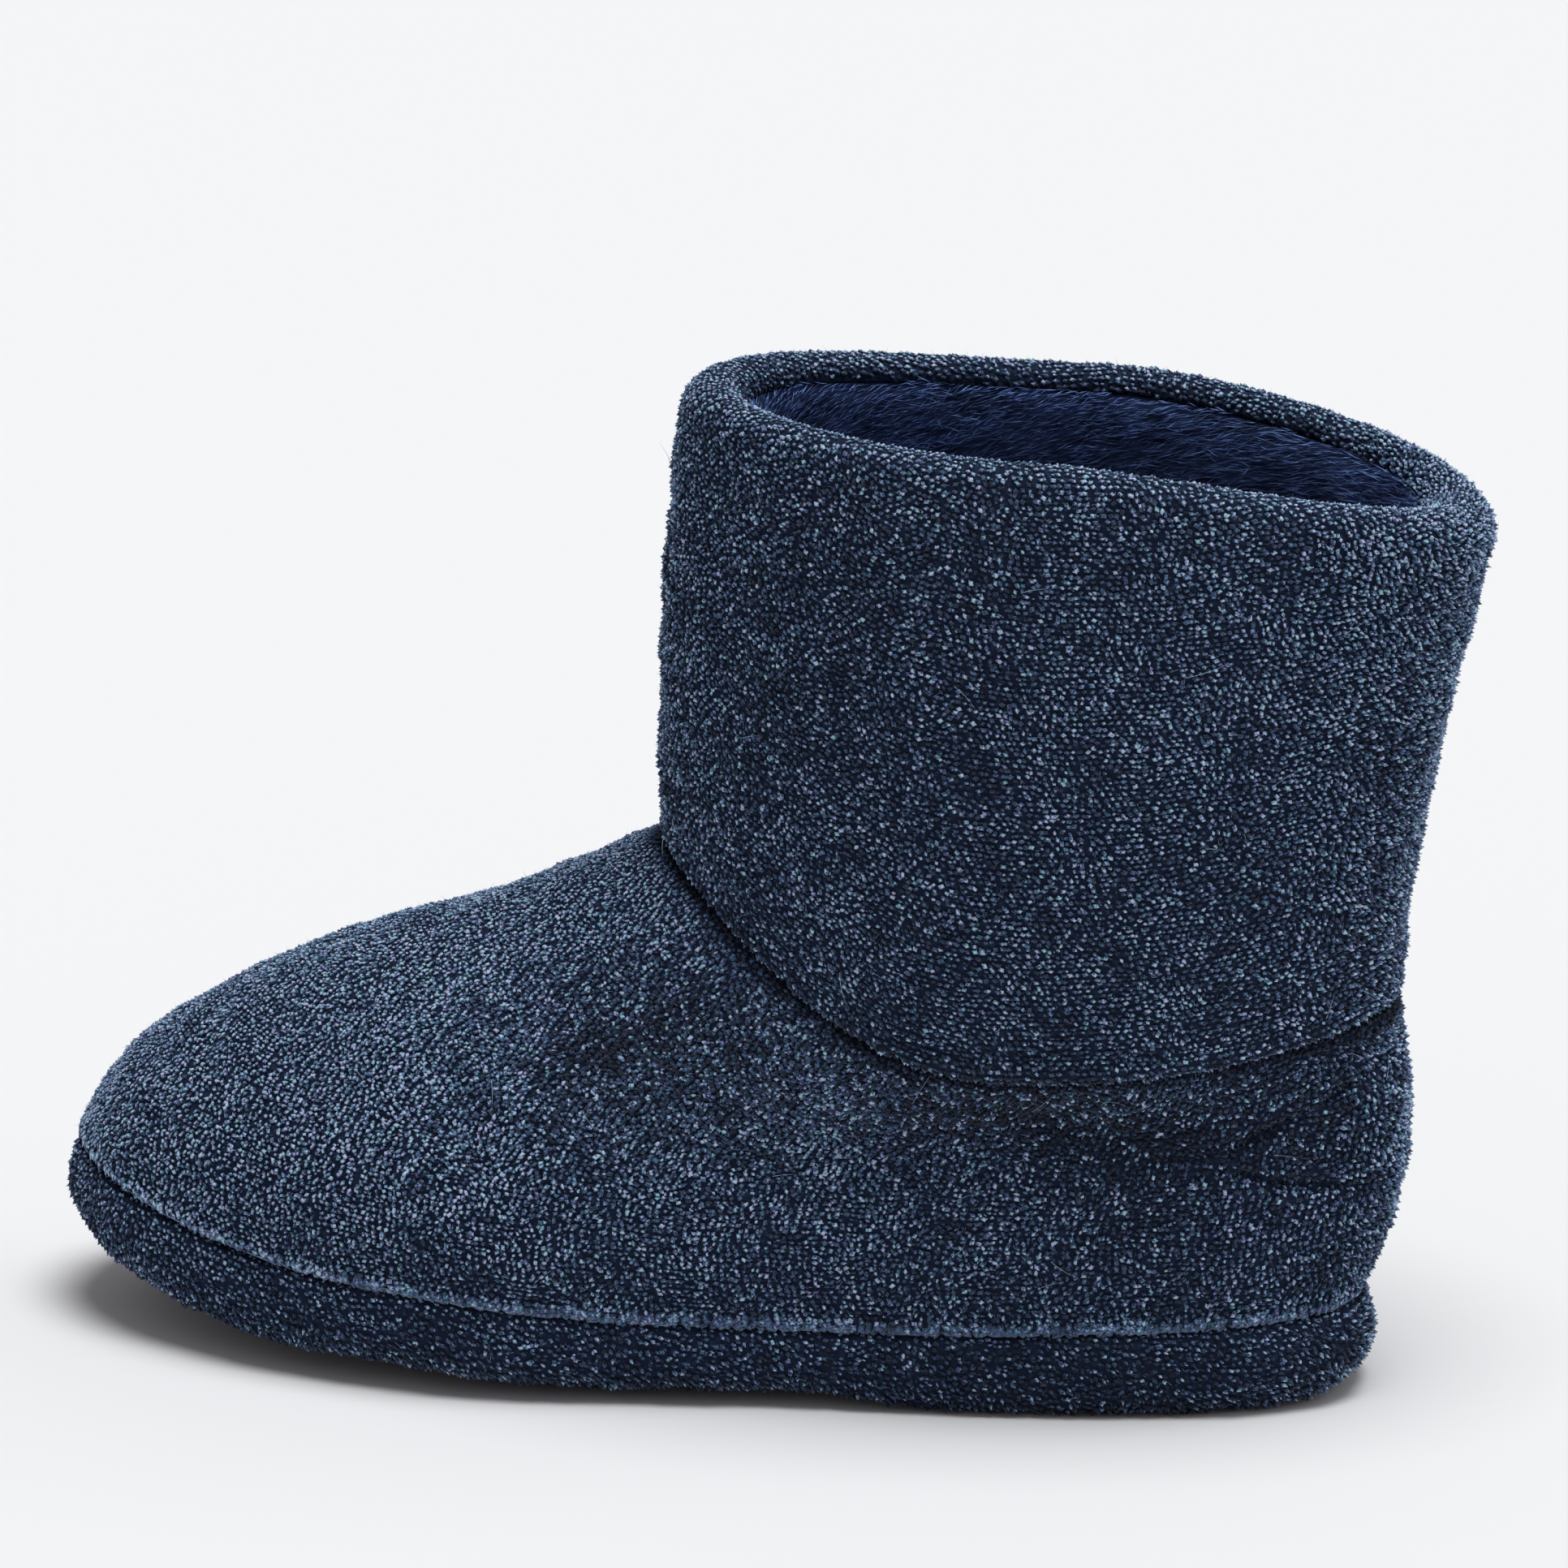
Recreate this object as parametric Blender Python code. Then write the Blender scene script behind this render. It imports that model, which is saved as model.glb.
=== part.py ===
"""Bootie slipper for the left foot, empty and standing on its sole.

The slipper is five sewn pieces, each a loft of closed rings round the foot: an outsole with its foam, the
knitted band round the sole's side, an insole, the foot upper and the shaft with its rolled collar.

X runs towards the toe, Y towards the wearer's left (the outer side) and Z up. The origin is on the floor,
under the middle of the heel. Lengths are in metres.
"""

import math

import bmesh
import bpy
import numpy as np

# Sole
SOLE_LENGTH = 0.289
HEEL_REACH = 0.040  # from the origin back to the sole's end
HEEL_WIDTH = 0.075
WAIST_WIDTH = 0.082
BALL_WIDTH = 0.100
TOE_WIDTH = 0.084
TOE_SWING = 0.014  # how far the tip leans to the inner side
SOLE_AT_HEEL = 0.022  # height of the sole's side
SOLE_AT_BALL = 0.018
SOLE_AT_TOE = 0.0225
TOE_SPRING = 0.016
ARCH_RISE = 0.002
BAND_WALL = 0.0025
INSOLE_THICKNESS = 0.005

# Foot upper, up to the seam round the ankle
HEEL_SWELL = 0.0065  # how far the padded heel stands out behind the sole
INSTEP_HEIGHT = 0.116  # the ankle seam in front
ANKLE_SIDE_HEIGHT = 0.078
ANKLE_BACK_HEIGHT = 0.084
ANKLE_REACH = 0.113  # from the origin forward to the seam's front
ANKLE_LENGTH = 0.1575
ANKLE_WIDTH = 0.092
UPPER_WALL = 0.005

# Shaft, up to the top of its rolled collar
COLLAR_FRONT_HEIGHT = 0.216
COLLAR_OUTER_HEIGHT = 0.210
COLLAR_INNER_HEIGHT = 0.211
COLLAR_BACK_HEIGHT = 0.196
COLLAR_REACH = 0.109
COLLAR_LENGTH = 0.172
COLLAR_WIDTH = 0.099
SHAFT_WALL = 0.005
COLLAR_ROLL = 0.011  # thickness of the rolled rim
FACING_DEPTH = 0.009  # how deep the turned-in knit reaches inside

SEAM_GAP = 0.0003  # between pieces that meet
BAND_START = 1  # ring of the sole's side that the band starts from, just off the floor
AROUND = 56  # points on a ring
STEPS = 3  # rows of faces between two sections of the foot
ROLL_STEPS = 6

HEEL_END = -HEEL_REACH
TOE_END = SOLE_LENGTH - HEEL_REACH
ANKLE_BACK = ANKLE_REACH - ANKLE_LENGTH
COLLAR_BACK = COLLAR_REACH - COLLAR_LENGTH

# Where along the sole, in shares of its length from the heel, the arch, the end of the ball's rounded edge,
# the toe spring and the swing lie
ARCH_FROM = 0.30
ARCH_TO = 0.48
BALL_FROM = 0.70
BALL_TO = 0.82
SPRING_FROM = 0.575
SPRING_POWER = 1.8
SWING_FROM = 0.55
SWING_POWER = 1.8
SOLE_POWER = 2.6  # how late the sole's side grows from the ball to its two ends
ARCH_POWER = 2

# How blunt the sole's two ends are: 2 is an ellipse's end, and more is squarer
TOE_ROUND = 2.5
HEEL_ROUND = 2.6

OUTLINE_COLUMNS = ("station", "width", "lateral")
# Share of the sole's length from the heel, width there, and the outer side's share of it
OUTLINE = [
    (0.22, HEEL_WIDTH, 0.500),
    (0.42, WAIST_WIDTH, 0.522),
    (0.66, BALL_WIDTH, 0.515),
    (0.84, TOE_WIDTH, 0.523),
]

SOLE_COLUMNS = ("name", "ends", "heel_height", "ball_height", "heel_fullness", "ball_fullness")
# ends: how far the ring's two ends draw in, as a share of the sole's height at the heel.
# heights: share of the sole's height there. fullness: share of the sole's half width. Under the ball both
# have the ball's value, under heel and toe the heel's.
SOLE_SECTIONS = [
    ("floor", 0.58, 0.00, 0.00, 0.87, 0.66),
    ("under_edge", 0.24, 0.14, 0.24, 0.955, 0.925),
    ("side", 0.00, 0.48, 0.52, 1.00, 1.00),
    ("over_edge", 0.04, 0.82, 0.82, 0.99, 0.99),
    ("feather", 0.12, 1.00, 1.00, 0.965, 0.965),
]

FOOT_COLUMNS = (
    "name",
    "reach",
    "heel",
    "rise_front",
    "rise_side",
    "rise_back",
    "draw_in",
    "fullness",
    "toe_round",
    "heel_round",
)
# reach: share of the way from the ankle seam's front to the toe end. heel: share of the heel's swell.
# rise_front, rise_side, rise_back: share of the way up from the sole to the ankle seam.
# draw_in: share of the way from the foot's width to the ankle's. fullness: share of the half width.
FOOT_SECTIONS = [
    ("feather", 0.982, -0.46, 0.000, 0.00, 0.00, 0.00, 0.965, 2.50, 2.6),
    ("swell", 0.960, 0.31, 0.115, 0.21, 0.18, 0.00, 1.02, 2.45, 2.5),
    ("toe_box", 0.889, 0.85, 0.290, 0.46, 0.45, 0.00, 1.02, 2.30, 2.4),
    ("toe_top", 0.735, 1.00, 0.505, 0.66, 0.64, 0.12, 0.98, 2.20, 2.4),
    ("vamp", 0.529, 1.08, 0.680, 0.79, 0.78, 0.35, 0.96, 2.10, 2.3),
    ("instep", 0.257, 0.85, 0.830, 0.89, 0.90, 0.70, 0.97, 2.10, 2.2),
]

SHAFT_COLUMNS = ("name", "rise_front", "rise_side", "rise_back", "front", "back", "spread")
# rise: share of the way from the ankle seam up to the rim. front, back: share of the way from the seam's
# ends to the collar's. spread: share of the way from the ankle's width to the collar's.
SHAFT_SECTIONS = [
    ("above_seam", 0.14, 0.19, 0.225, -0.12, 0.11, 1.14),
    ("middle", 0.50, 0.58, 0.575, 0.00, 0.46, 1.43),
    ("under_rim", 0.87, 0.905, 0.91, 0.62, 0.87, 1.14),
    ("rim", 1.00, 1.00, 1.00, 1.00, 1.00, 0.86),
]
SHAFT_ROUND = 2.1

# How early heights change from a ring's side to its front and to its back
FRONT_POWER = 1.4
BACK_POWER = 1.4
FACING_SECTION = 3  # the inner wall goes up to this section, counted from the ankle seam

# How far a plate's inner rings draw in from its edge to its middle line, as shares of its half width
PLATE_RINGS = (0.66, 0.33, 0.0)

TURN = np.linspace(0.0, 2.0 * math.pi, AROUND, endpoint=False)


def ease(stations, values, at):
    """A smooth curve through a table: cubic pieces whose slopes are means of the slopes on both sides."""
    stations = np.asarray(stations, float)
    values = np.asarray(values, float)
    at = np.clip(np.asarray(at, float), stations[0], stations[-1])
    wide = (-1,) + (1,) * (values.ndim - 1)
    steps = np.diff(stations).reshape(wide)
    rates = np.diff(values, axis=0) / steps
    slopes = np.empty_like(values)
    slopes[0], slopes[-1] = rates[0], rates[-1]
    slopes[1:-1] = (rates[:-1] * steps[1:] + rates[1:] * steps[:-1]) / (steps[:-1] + steps[1:])
    piece = np.clip(np.searchsorted(stations, at, side="right") - 1, 0, len(stations) - 2)
    shape = at.shape + (1,) * (values.ndim - 1)
    step = (stations[piece + 1] - stations[piece]).reshape(shape)
    t = (at - stations[piece]).reshape(shape) / step
    return (
        values[piece] * (1 + 2 * t) * (1 - t) ** 2
        + slopes[piece] * step * t * (1 - t) ** 2
        + values[piece + 1] * t * t * (3 - 2 * t)
        + slopes[piece + 1] * step * t * t * (t - 1)
    )


def share_along(x):
    """Share of the sole's length at x, from the heel end."""
    return (x - HEEL_END) / SOLE_LENGTH


def end_round(across, power):
    """The half width left at a share of the way from a ring's middle to its end: 1 in the middle, 0 at the end."""
    return np.clip(1.0 - np.abs(across) ** power, 0.0, None) ** (1.0 / power)


def spring(x):
    """How far the sole has risen towards the toe at x."""
    share = np.clip((share_along(x) - SPRING_FROM) / (1.0 - SPRING_FROM), 0.0, None)
    return TOE_SPRING * share**SPRING_POWER


def over_range(x, start, end):
    """0 before a range of the sole, 1 past it and a share of its length inside."""
    return np.clip((share_along(x) - start) / (end - start), 0.0, 1.0)


def under_ball(x):
    """1 under the ball of the foot and 0 under heel and toe, without a corner."""
    before = np.sin(math.pi / 2 * over_range(x, ARCH_FROM, ARCH_TO)) ** 2
    after = np.sin(math.pi / 2 * over_range(x, BALL_FROM, BALL_TO)) ** 2
    return before * (1 - after)


def underside(x):
    """Height of the sole's underside: flat under heel and ball, with a low arch between and the toe spring."""
    return ARCH_RISE * np.sin(math.pi * over_range(x, ARCH_FROM, ARCH_TO)) ** ARCH_POWER + spring(x)


def sole_top(x):
    """Height of the sole's upper edge: lowest at the ball, higher at the heel and the toe."""
    across = 2 * share_along(x) - 1
    end = np.where(across > 0, SOLE_AT_TOE, SOLE_AT_HEEL)
    return SOLE_AT_BALL + (end - SOLE_AT_BALL) * np.abs(across) ** SOLE_POWER + spring(x)


def middle_line(x):
    """Where the sole's middle line lies in Y: straight under the heel, then leaning inwards to the toe."""
    return -TOE_SWING * np.clip((share_along(x) - SWING_FROM) / (1 - SWING_FROM), 0.0, None) ** SWING_POWER


def half_width(x, side):
    """Half width of the sole at x, before its ends are rounded. side is 1 on the outer side and -1 on the inner."""
    stations, widths, lateral = (np.array(column) for column in zip(*OUTLINE))
    across = 2 * stations - 1
    rounding = end_round(across, np.where(across > 0, TOE_ROUND, HEEL_ROUND))
    outer = ease(stations, widths * lateral / rounding, share_along(x))
    inner = ease(stations, widths * (1 - lateral) / rounding, share_along(x))
    return np.where(side > 0, outer, inner)


def ring_plan(front, back, front_round, back_round):
    """X and the end rounding of each point of a ring between front and back."""
    c = np.cos(TURN)
    x = (front + back) / 2 + (front - back) / 2 * c
    return x, end_round(c, np.where(c > 0, front_round, back_round))


def three_way(front, side, back):
    """A value for each point of a ring that goes from front over side to back without a corner."""
    c = np.cos(TURN)
    forward = 1 - (1 - c * c) ** FRONT_POWER
    return np.where(c > 0, side + (front - side) * forward, side + (back - side) * np.abs(c) ** BACK_POWER)


SIDE = np.sign(np.round(np.sin(TURN), 9))


def sole_ring(section):
    """One ring of the sole's side."""
    row = dict(zip(SOLE_COLUMNS, section))
    draw = row["ends"] * SOLE_AT_HEEL
    x, rounding = ring_plan(TOE_END - draw, HEEL_END + draw, TOE_ROUND, HEEL_ROUND)
    ball = under_ball(x)
    fullness = row["heel_fullness"] + ball * (row["ball_fullness"] - row["heel_fullness"])
    height = row["heel_height"] + ball * (row["ball_height"] - row["heel_height"])
    y = middle_line(x) + SIDE * half_width(x, SIDE) * fullness * rounding
    z = underside(x) + height * (sole_top(x) - underside(x))
    return np.stack([x, y, z], axis=-1)


def ankle_height():
    """Height of the ankle seam at each point of a ring."""
    return three_way(INSTEP_HEIGHT, ANKLE_SIDE_HEIGHT, ANKLE_BACK_HEIGHT)


def ankle_ring():
    """The seam ring that the foot upper ends on and the shaft starts from."""
    x, rounding = ring_plan(ANKLE_REACH, ANKLE_BACK, SHAFT_ROUND, SHAFT_ROUND)
    return np.stack([x, SIDE * ANKLE_WIDTH / 2 * rounding, ankle_height()], axis=-1)


def foot_ring(section):
    """One ring of the foot upper, between the sole's edge and the ankle seam."""
    row = dict(zip(FOOT_COLUMNS, section))
    front = ANKLE_REACH + row["reach"] * (TOE_END - ANKLE_REACH)
    back = HEEL_END - row["heel"] * HEEL_SWELL
    x, rounding = ring_plan(front, back, row["toe_round"], row["heel_round"])
    foot = half_width(x, SIDE) * row["fullness"]
    half = foot + row["draw_in"] * (ANKLE_WIDTH / 2 - foot)
    y = middle_line(x) * (1 - row["draw_in"]) + SIDE * half * rounding
    rise = three_way(row["rise_front"], row["rise_side"], row["rise_back"])
    z = sole_top(x) + rise * (ankle_height() - sole_top(x))
    return np.stack([x, y, z], axis=-1)


def shaft_ring(section):
    """One ring of the shaft, between the ankle seam and the rim that the collar's roll stands on."""
    row = dict(zip(SHAFT_COLUMNS, section))
    front = ANKLE_REACH + row["front"] * (COLLAR_REACH - ANKLE_REACH)
    back = ANKLE_BACK + row["back"] * (COLLAR_BACK - ANKLE_BACK)
    x, rounding = ring_plan(front, back, SHAFT_ROUND, SHAFT_ROUND)
    half = (ANKLE_WIDTH + row["spread"] * (COLLAR_WIDTH - ANKLE_WIDTH)) / 2
    side = np.where(SIDE > 0, COLLAR_OUTER_HEIGHT, COLLAR_INNER_HEIGHT)
    rim = three_way(COLLAR_FRONT_HEIGHT, side, COLLAR_BACK_HEIGHT) - COLLAR_ROLL / 2
    rise = three_way(row["rise_front"], row["rise_side"], row["rise_back"])
    z = ankle_height() + rise * (rim - ankle_height())
    return np.stack([x, SIDE * half * rounding, z], axis=-1)


def between(rings, steps):
    """Rings eased between the sections, with steps rows of faces from one section to the next."""
    at = np.linspace(0, len(rings) - 1, (len(rings) - 1) * steps + 1)
    return ease(np.arange(len(rings)), rings, at)


def outward(grid):
    """Unit normals of a grid of rings, from the differences along and across them."""
    around = np.roll(grid, -1, axis=1) - np.roll(grid, 1, axis=1)
    up = np.gradient(grid, axis=0)
    normal = np.cross(around, up)
    return normal / np.linalg.norm(normal, axis=-1, keepdims=True)


def level(vectors):
    """The same directions laid level."""
    flat = vectors * (1.0, 1.0, 0.0)
    return flat / np.linalg.norm(flat, axis=-1, keepdims=True)


def plate_rings(edge, height):
    """Rings that carry a plate on from its edge to its middle line, where both sides meet. height gives Z at x."""
    mirrored = edge[-np.arange(AROUND) % AROUND]
    folded = (edge[:, 0] + mirrored[:, 0]) / 2
    middle = (folded.max() + folded.min()) / 2
    reach = np.ptp(folded) / 2
    depth = np.ptp(edge[:, 1]) / 2
    rings = []
    for share in PLATE_RINGS:
        spine = middle + (folded - middle) * (1 - depth / reach)
        x = spine + (edge[:, 0] - spine) * share
        line = middle_line(spine)
        y = line + (edge[:, 1] - line) * share
        rings.append(np.stack([x, y, height(x)], axis=-1))
    return rings


def loft(name, rings, closed, colour):
    """A solid from a stack of rings. closed joins the last ring to the first, for a wall that is hollow inside."""
    build = bmesh.new()
    rows = [[build.verts.new(point) for point in ring] for ring in rings]
    pairs = list(zip(rows, rows[1:]))
    if closed:
        pairs.append((rows[-1], rows[0]))
    for low, high in pairs:
        for k in range(AROUND):
            n = (k + 1) % AROUND
            build.faces.new((low[k], low[n], high[n], high[k]))
    bmesh.ops.remove_doubles(build, verts=build.verts, dist=1e-6)
    bmesh.ops.dissolve_degenerate(build, dist=1e-7, edges=build.edges)
    bmesh.ops.recalc_face_normals(build, faces=build.faces)
    mesh = bpy.data.meshes.new(name)
    build.to_mesh(mesh)
    build.free()
    mesh.shade_smooth()
    mesh.set_sharp_from_angle(angle=math.radians(50))
    mesh.materials.append(colour)
    piece = bpy.data.objects.new(name, mesh)
    PIECES.objects.link(piece)
    return piece


def cloth(name, red, green, blue, roughness):
    """A plain cloth finish of one linear colour."""
    finish = bpy.data.materials.new(name)
    finish.use_nodes = True
    shader = finish.node_tree.nodes["Principled BSDF"]
    shader.inputs["Base Color"].default_value = (red, green, blue, 1.0)
    shader.inputs["Roughness"].default_value = roughness
    shader.inputs["Metallic"].default_value = 0.0
    shader.inputs["Sheen Weight"].default_value = 0.4
    return finish


def sole_side(depth):
    """Rings of the sole's side, depth under its outside. The lowest and the highest ring move in level."""
    outer = between([sole_ring(section) for section in SOLE_SECTIONS], 2)
    normal = outward(outer)
    normal[[0, -1]] = level(normal[[0, -1]])
    rings = outer - normal * depth
    rings[0, :, 2] = underside(rings[0, :, 0])
    rings[-1, :, 2] = sole_top(rings[-1, :, 0])
    return rings


def outer_walls():
    """Outer rings of the foot upper and of the shaft, and their normals. Both share one normal at the ankle seam."""
    foot = between([foot_ring(section) for section in FOOT_SECTIONS] + [ankle_ring()], STEPS)
    shaft = between([ankle_ring()] + [shaft_ring(section) for section in SHAFT_SECTIONS], STEPS)
    foot_normal = outward(foot)
    shaft_normal = outward(shaft)
    foot_normal[0] = level(foot_normal[0])
    shaft_normal[-1] = level(shaft_normal[-1])
    shared = foot_normal[-1] + shaft_normal[0]
    shared /= np.linalg.norm(shared, axis=-1, keepdims=True)
    foot_normal[-1] = shared
    shaft_normal[0] = shared
    return foot, foot_normal, shaft, shaft_normal


def upper_walls():
    """Outer and inner rings of the foot upper. Its lower edge follows the sole's top."""
    outer, normal = outer_walls()[:2]
    inner = outer - normal * UPPER_WALL
    for wall in (outer, inner):
        wall[0, :, 2] = sole_top(wall[0, :, 0]) + SEAM_GAP
    return outer, inner


def insole_edge(height):
    """The ring just inside the upper's inner wall at a height above the sole's top."""
    inner = upper_walls()[1]
    above = inner[:, :, 2] - sole_top(inner[:, :, 0])
    inward = -level(outward(inner)[0])
    edge = np.empty((AROUND, 3))
    for k in range(AROUND):
        for axis in range(3):
            edge[k, axis] = np.interp(height + SEAM_GAP, above[:, k], inner[:, k, axis])
    return edge + inward * SEAM_GAP


def insole_rings(height):
    """Rings of a plate at a height above the sole's top, from the upper's inner wall to the middle line."""
    edge = insole_edge(height)
    edge[:, 2] = sole_top(edge[:, 0]) + height
    return [edge, *plate_rings(edge, lambda x: sole_top(x) + height)]


def make_outsole(finish):
    """The padded sole: a flat underside with arch and toe spring, a low lip under the band, then a core inside it."""
    outer = sole_side(0.0)
    core = sole_side(BAND_WALL + SEAM_GAP)[BAND_START:]
    rise = np.gradient(outer, axis=0)[BAND_START]
    rise /= np.linalg.norm(rise, axis=-1, keepdims=True)
    lip = outer[BAND_START] - rise * SEAM_GAP
    core[0] -= rise * SEAM_GAP
    under = plate_rings(outer[0], underside)
    return loft("outsole", [*reversed(under), outer[0], lip, *core, *insole_rings(0.0)], False, finish)


def make_sole_band(finish):
    """The knitted strip round the sole's side, between the outsole's lip and the upper."""
    outer = sole_side(0.0)[BAND_START:]
    inner = sole_side(BAND_WALL)[BAND_START:]
    return loft("sole_band", [*outer, *reversed(inner)], True, finish)


def make_upper(finish):
    """The foot upper from toe to heel: one hollow wall, open underneath and at the ankle."""
    outer, inner = upper_walls()
    return loft("upper", [*outer, *reversed(inner)], True, finish)


def make_insole(finish):
    """The insole, lying on the outsole inside the upper's lower edge."""
    under = insole_rings(SEAM_GAP)
    over = insole_rings(SEAM_GAP + INSOLE_THICKNESS)
    return loft("insole", [*reversed(under), *over], False, finish)


def make_shaft(finish):
    """The shaft: one hollow wall from the ankle seam up, over the rolled collar and down as facing and inner wall."""
    outer, normal = outer_walls()[2:]
    inner = (outer - normal * SHAFT_WALL)[: FACING_SECTION * STEPS]
    around = np.roll(outer[0], -1, axis=0) - np.roll(outer[0], 1, axis=0)
    apart = np.cross(normal[0], around)
    apart /= np.linalg.norm(apart, axis=-1, keepdims=True)
    outer[0] += apart * SEAM_GAP
    inner[0] += apart * SEAM_GAP
    up = np.array([0.0, 0.0, 1.0])
    radius = COLLAR_ROLL / 2
    angles = np.linspace(0, math.pi, ROLL_STEPS + 1)[1:]
    rim = outer[-1]
    roll = [rim - normal[-1] * radius * (1 - math.cos(a)) + up * radius * math.sin(a) for a in angles]
    facing = roll[-1] - up * (FACING_DEPTH - radius)
    return loft("shaft", [*outer, *roll, facing, *reversed(inner)], True, finish)


def clear_scene():
    for old in list(bpy.data.objects):
        bpy.data.objects.remove(old)


def main():
    navy_knit = cloth("navy_plush_knit", 0.022, 0.032, 0.058, 0.95)
    navy_felt = cloth("navy_sole_cloth", 0.020, 0.024, 0.036, 0.9)
    blue_fleece = cloth("blue_fleece", 0.013, 0.025, 0.062, 0.95)
    make_outsole(navy_felt)
    make_sole_band(navy_knit)
    make_upper(navy_knit)
    make_insole(blue_fleece)
    make_shaft(navy_knit)


clear_scene()
PIECES = bpy.data.collections.new("bootie_slipper")
bpy.context.scene.collection.children.link(PIECES)
main()
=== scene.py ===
"""Looks of a bootie slipper in plush navy knit, laid out as an add-on and run as a script.

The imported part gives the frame. Every piece is worked out with numpy from the slipper's own sections, in
metres, with X towards the toe, Y to the outer side and Z up, and stands for the CAD node that it replaces.
"""

import math

import bpy
import numpy as np
from bpy.props import FloatProperty, FloatVectorProperty, IntProperty, PointerProperty
from bpy.types import NodeSocket, Operator, Panel, PropertyGroup
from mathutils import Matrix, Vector


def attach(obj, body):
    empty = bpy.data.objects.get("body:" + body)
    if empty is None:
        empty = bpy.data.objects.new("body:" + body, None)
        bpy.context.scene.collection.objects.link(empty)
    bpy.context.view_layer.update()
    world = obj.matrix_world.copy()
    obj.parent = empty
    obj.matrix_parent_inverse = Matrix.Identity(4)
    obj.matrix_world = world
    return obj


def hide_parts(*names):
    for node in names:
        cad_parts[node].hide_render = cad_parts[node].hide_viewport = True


bl_info = {
    "name": "Bootie slipper",
    "version": (1, 0, 0),
    "blender": (4, 5, 0),
    "location": "3D View > Sidebar > Slipper",
    "description": "Builds a bootie slipper in plush knit over its packed solids",
    "category": "Add Mesh",
}

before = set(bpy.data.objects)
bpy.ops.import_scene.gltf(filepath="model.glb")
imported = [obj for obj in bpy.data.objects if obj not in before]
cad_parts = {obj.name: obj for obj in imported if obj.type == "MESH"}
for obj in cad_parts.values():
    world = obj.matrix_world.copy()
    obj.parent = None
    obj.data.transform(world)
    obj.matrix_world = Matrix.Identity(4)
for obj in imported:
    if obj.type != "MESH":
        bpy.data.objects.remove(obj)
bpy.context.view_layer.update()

# The slipper's own sizes, as its solids have them but for the seams, which lie up to 3.2 mm from theirs
SOLE_LENGTH = 0.289
HEEL_REACH = 0.040
HEEL_WIDTH = 0.075
WAIST_WIDTH = 0.082
BALL_WIDTH = 0.100
TOE_WIDTH = 0.084
TOE_SWING = 0.014
SOLE_AT_HEEL = 0.022
SOLE_AT_BALL = 0.018
SOLE_AT_TOE = 0.0225
TOE_SPRING = 0.016
ARCH_RISE = 0.002
BAND_WALL = 0.0025
INSOLE_THICKNESS = 0.005
INSOLE_CROWN = 0.0008
HEEL_SWELL = 0.0065
INSTEP_HEIGHT = 0.116
ANKLE_SIDE_HEIGHT = 0.0763
ANKLE_BACK_HEIGHT = 0.0872
ANKLE_REACH = 0.113
ANKLE_LENGTH = 0.1575
ANKLE_WIDTH = 0.092
UPPER_WALL = 0.005
COLLAR_FRONT_HEIGHT = 0.216
COLLAR_OUTER_HEIGHT = 0.210
COLLAR_INNER_HEIGHT = 0.211
COLLAR_BACK_HEIGHT = 0.196
COLLAR_REACH = 0.109
COLLAR_LENGTH = 0.172
COLLAR_WIDTH = 0.099
SHAFT_WALL = 0.005
ROLL_FRONT = 0.0125
ROLL_SIDE = 0.0085
ROLL_BACK = 0.0150
SEAM_GAP = 0.0003
SEAM_RISE = 0.0024  # the pile and the rolled seam lift the sole's upper line at the ball
SEAM_RISE_AT = 0.150
SEAM_RISE_SPAN = 0.036

HEEL_END = -HEEL_REACH
TOE_END = SOLE_LENGTH - HEEL_REACH
ANKLE_BACK = ANKLE_REACH - ANKLE_LENGTH
COLLAR_BACK = COLLAR_REACH - COLLAR_LENGTH

# Shares of the sole's length from the heel, and the powers that its curves follow
ARCH_FROM, ARCH_TO, ARCH_POWER = 0.30, 0.48, 2
BALL_FROM, BALL_TO = 0.70, 0.82
SPRING_FROM, SPRING_POWER = 0.575, 1.8
SWING_FROM, SWING_POWER = 0.55, 1.8
SOLE_POWER = 2.6
TOE_ROUND, HEEL_ROUND, SHAFT_ROUND = 2.5, 2.6, 2.1
FRONT_POWER, BACK_POWER, SEAM_BACK_POWER = 1.4, 1.4, 2.1

# Share of the sole's length from the heel, width there, and the outer side's share of it
OUTLINE = [
    (0.22, HEEL_WIDTH, 0.500),
    (0.42, WAIST_WIDTH, 0.522),
    (0.66, BALL_WIDTH, 0.515),
    (0.84, TOE_WIDTH, 0.523),
]

SOLE_COLUMNS = ("name", "ends", "heel_height", "ball_height", "heel_fullness", "ball_fullness")
SOLE_SECTIONS = [
    ("floor", 0.58, 0.00, 0.00, 0.87, 0.66),
    ("under_edge", 0.24, 0.14, 0.24, 0.955, 0.925),
    ("side", 0.00, 0.48, 0.52, 1.00, 1.00),
    ("over_edge", 0.04, 0.82, 0.82, 0.99, 0.99),
    ("feather", 0.12, 1.00, 1.00, 0.965, 0.965),
]
BAND_FROM = 0.5  # the band starts halfway between the first two sections
LIP_RINGS = 8  # the sole's rings below the band, which keep their full width

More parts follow.
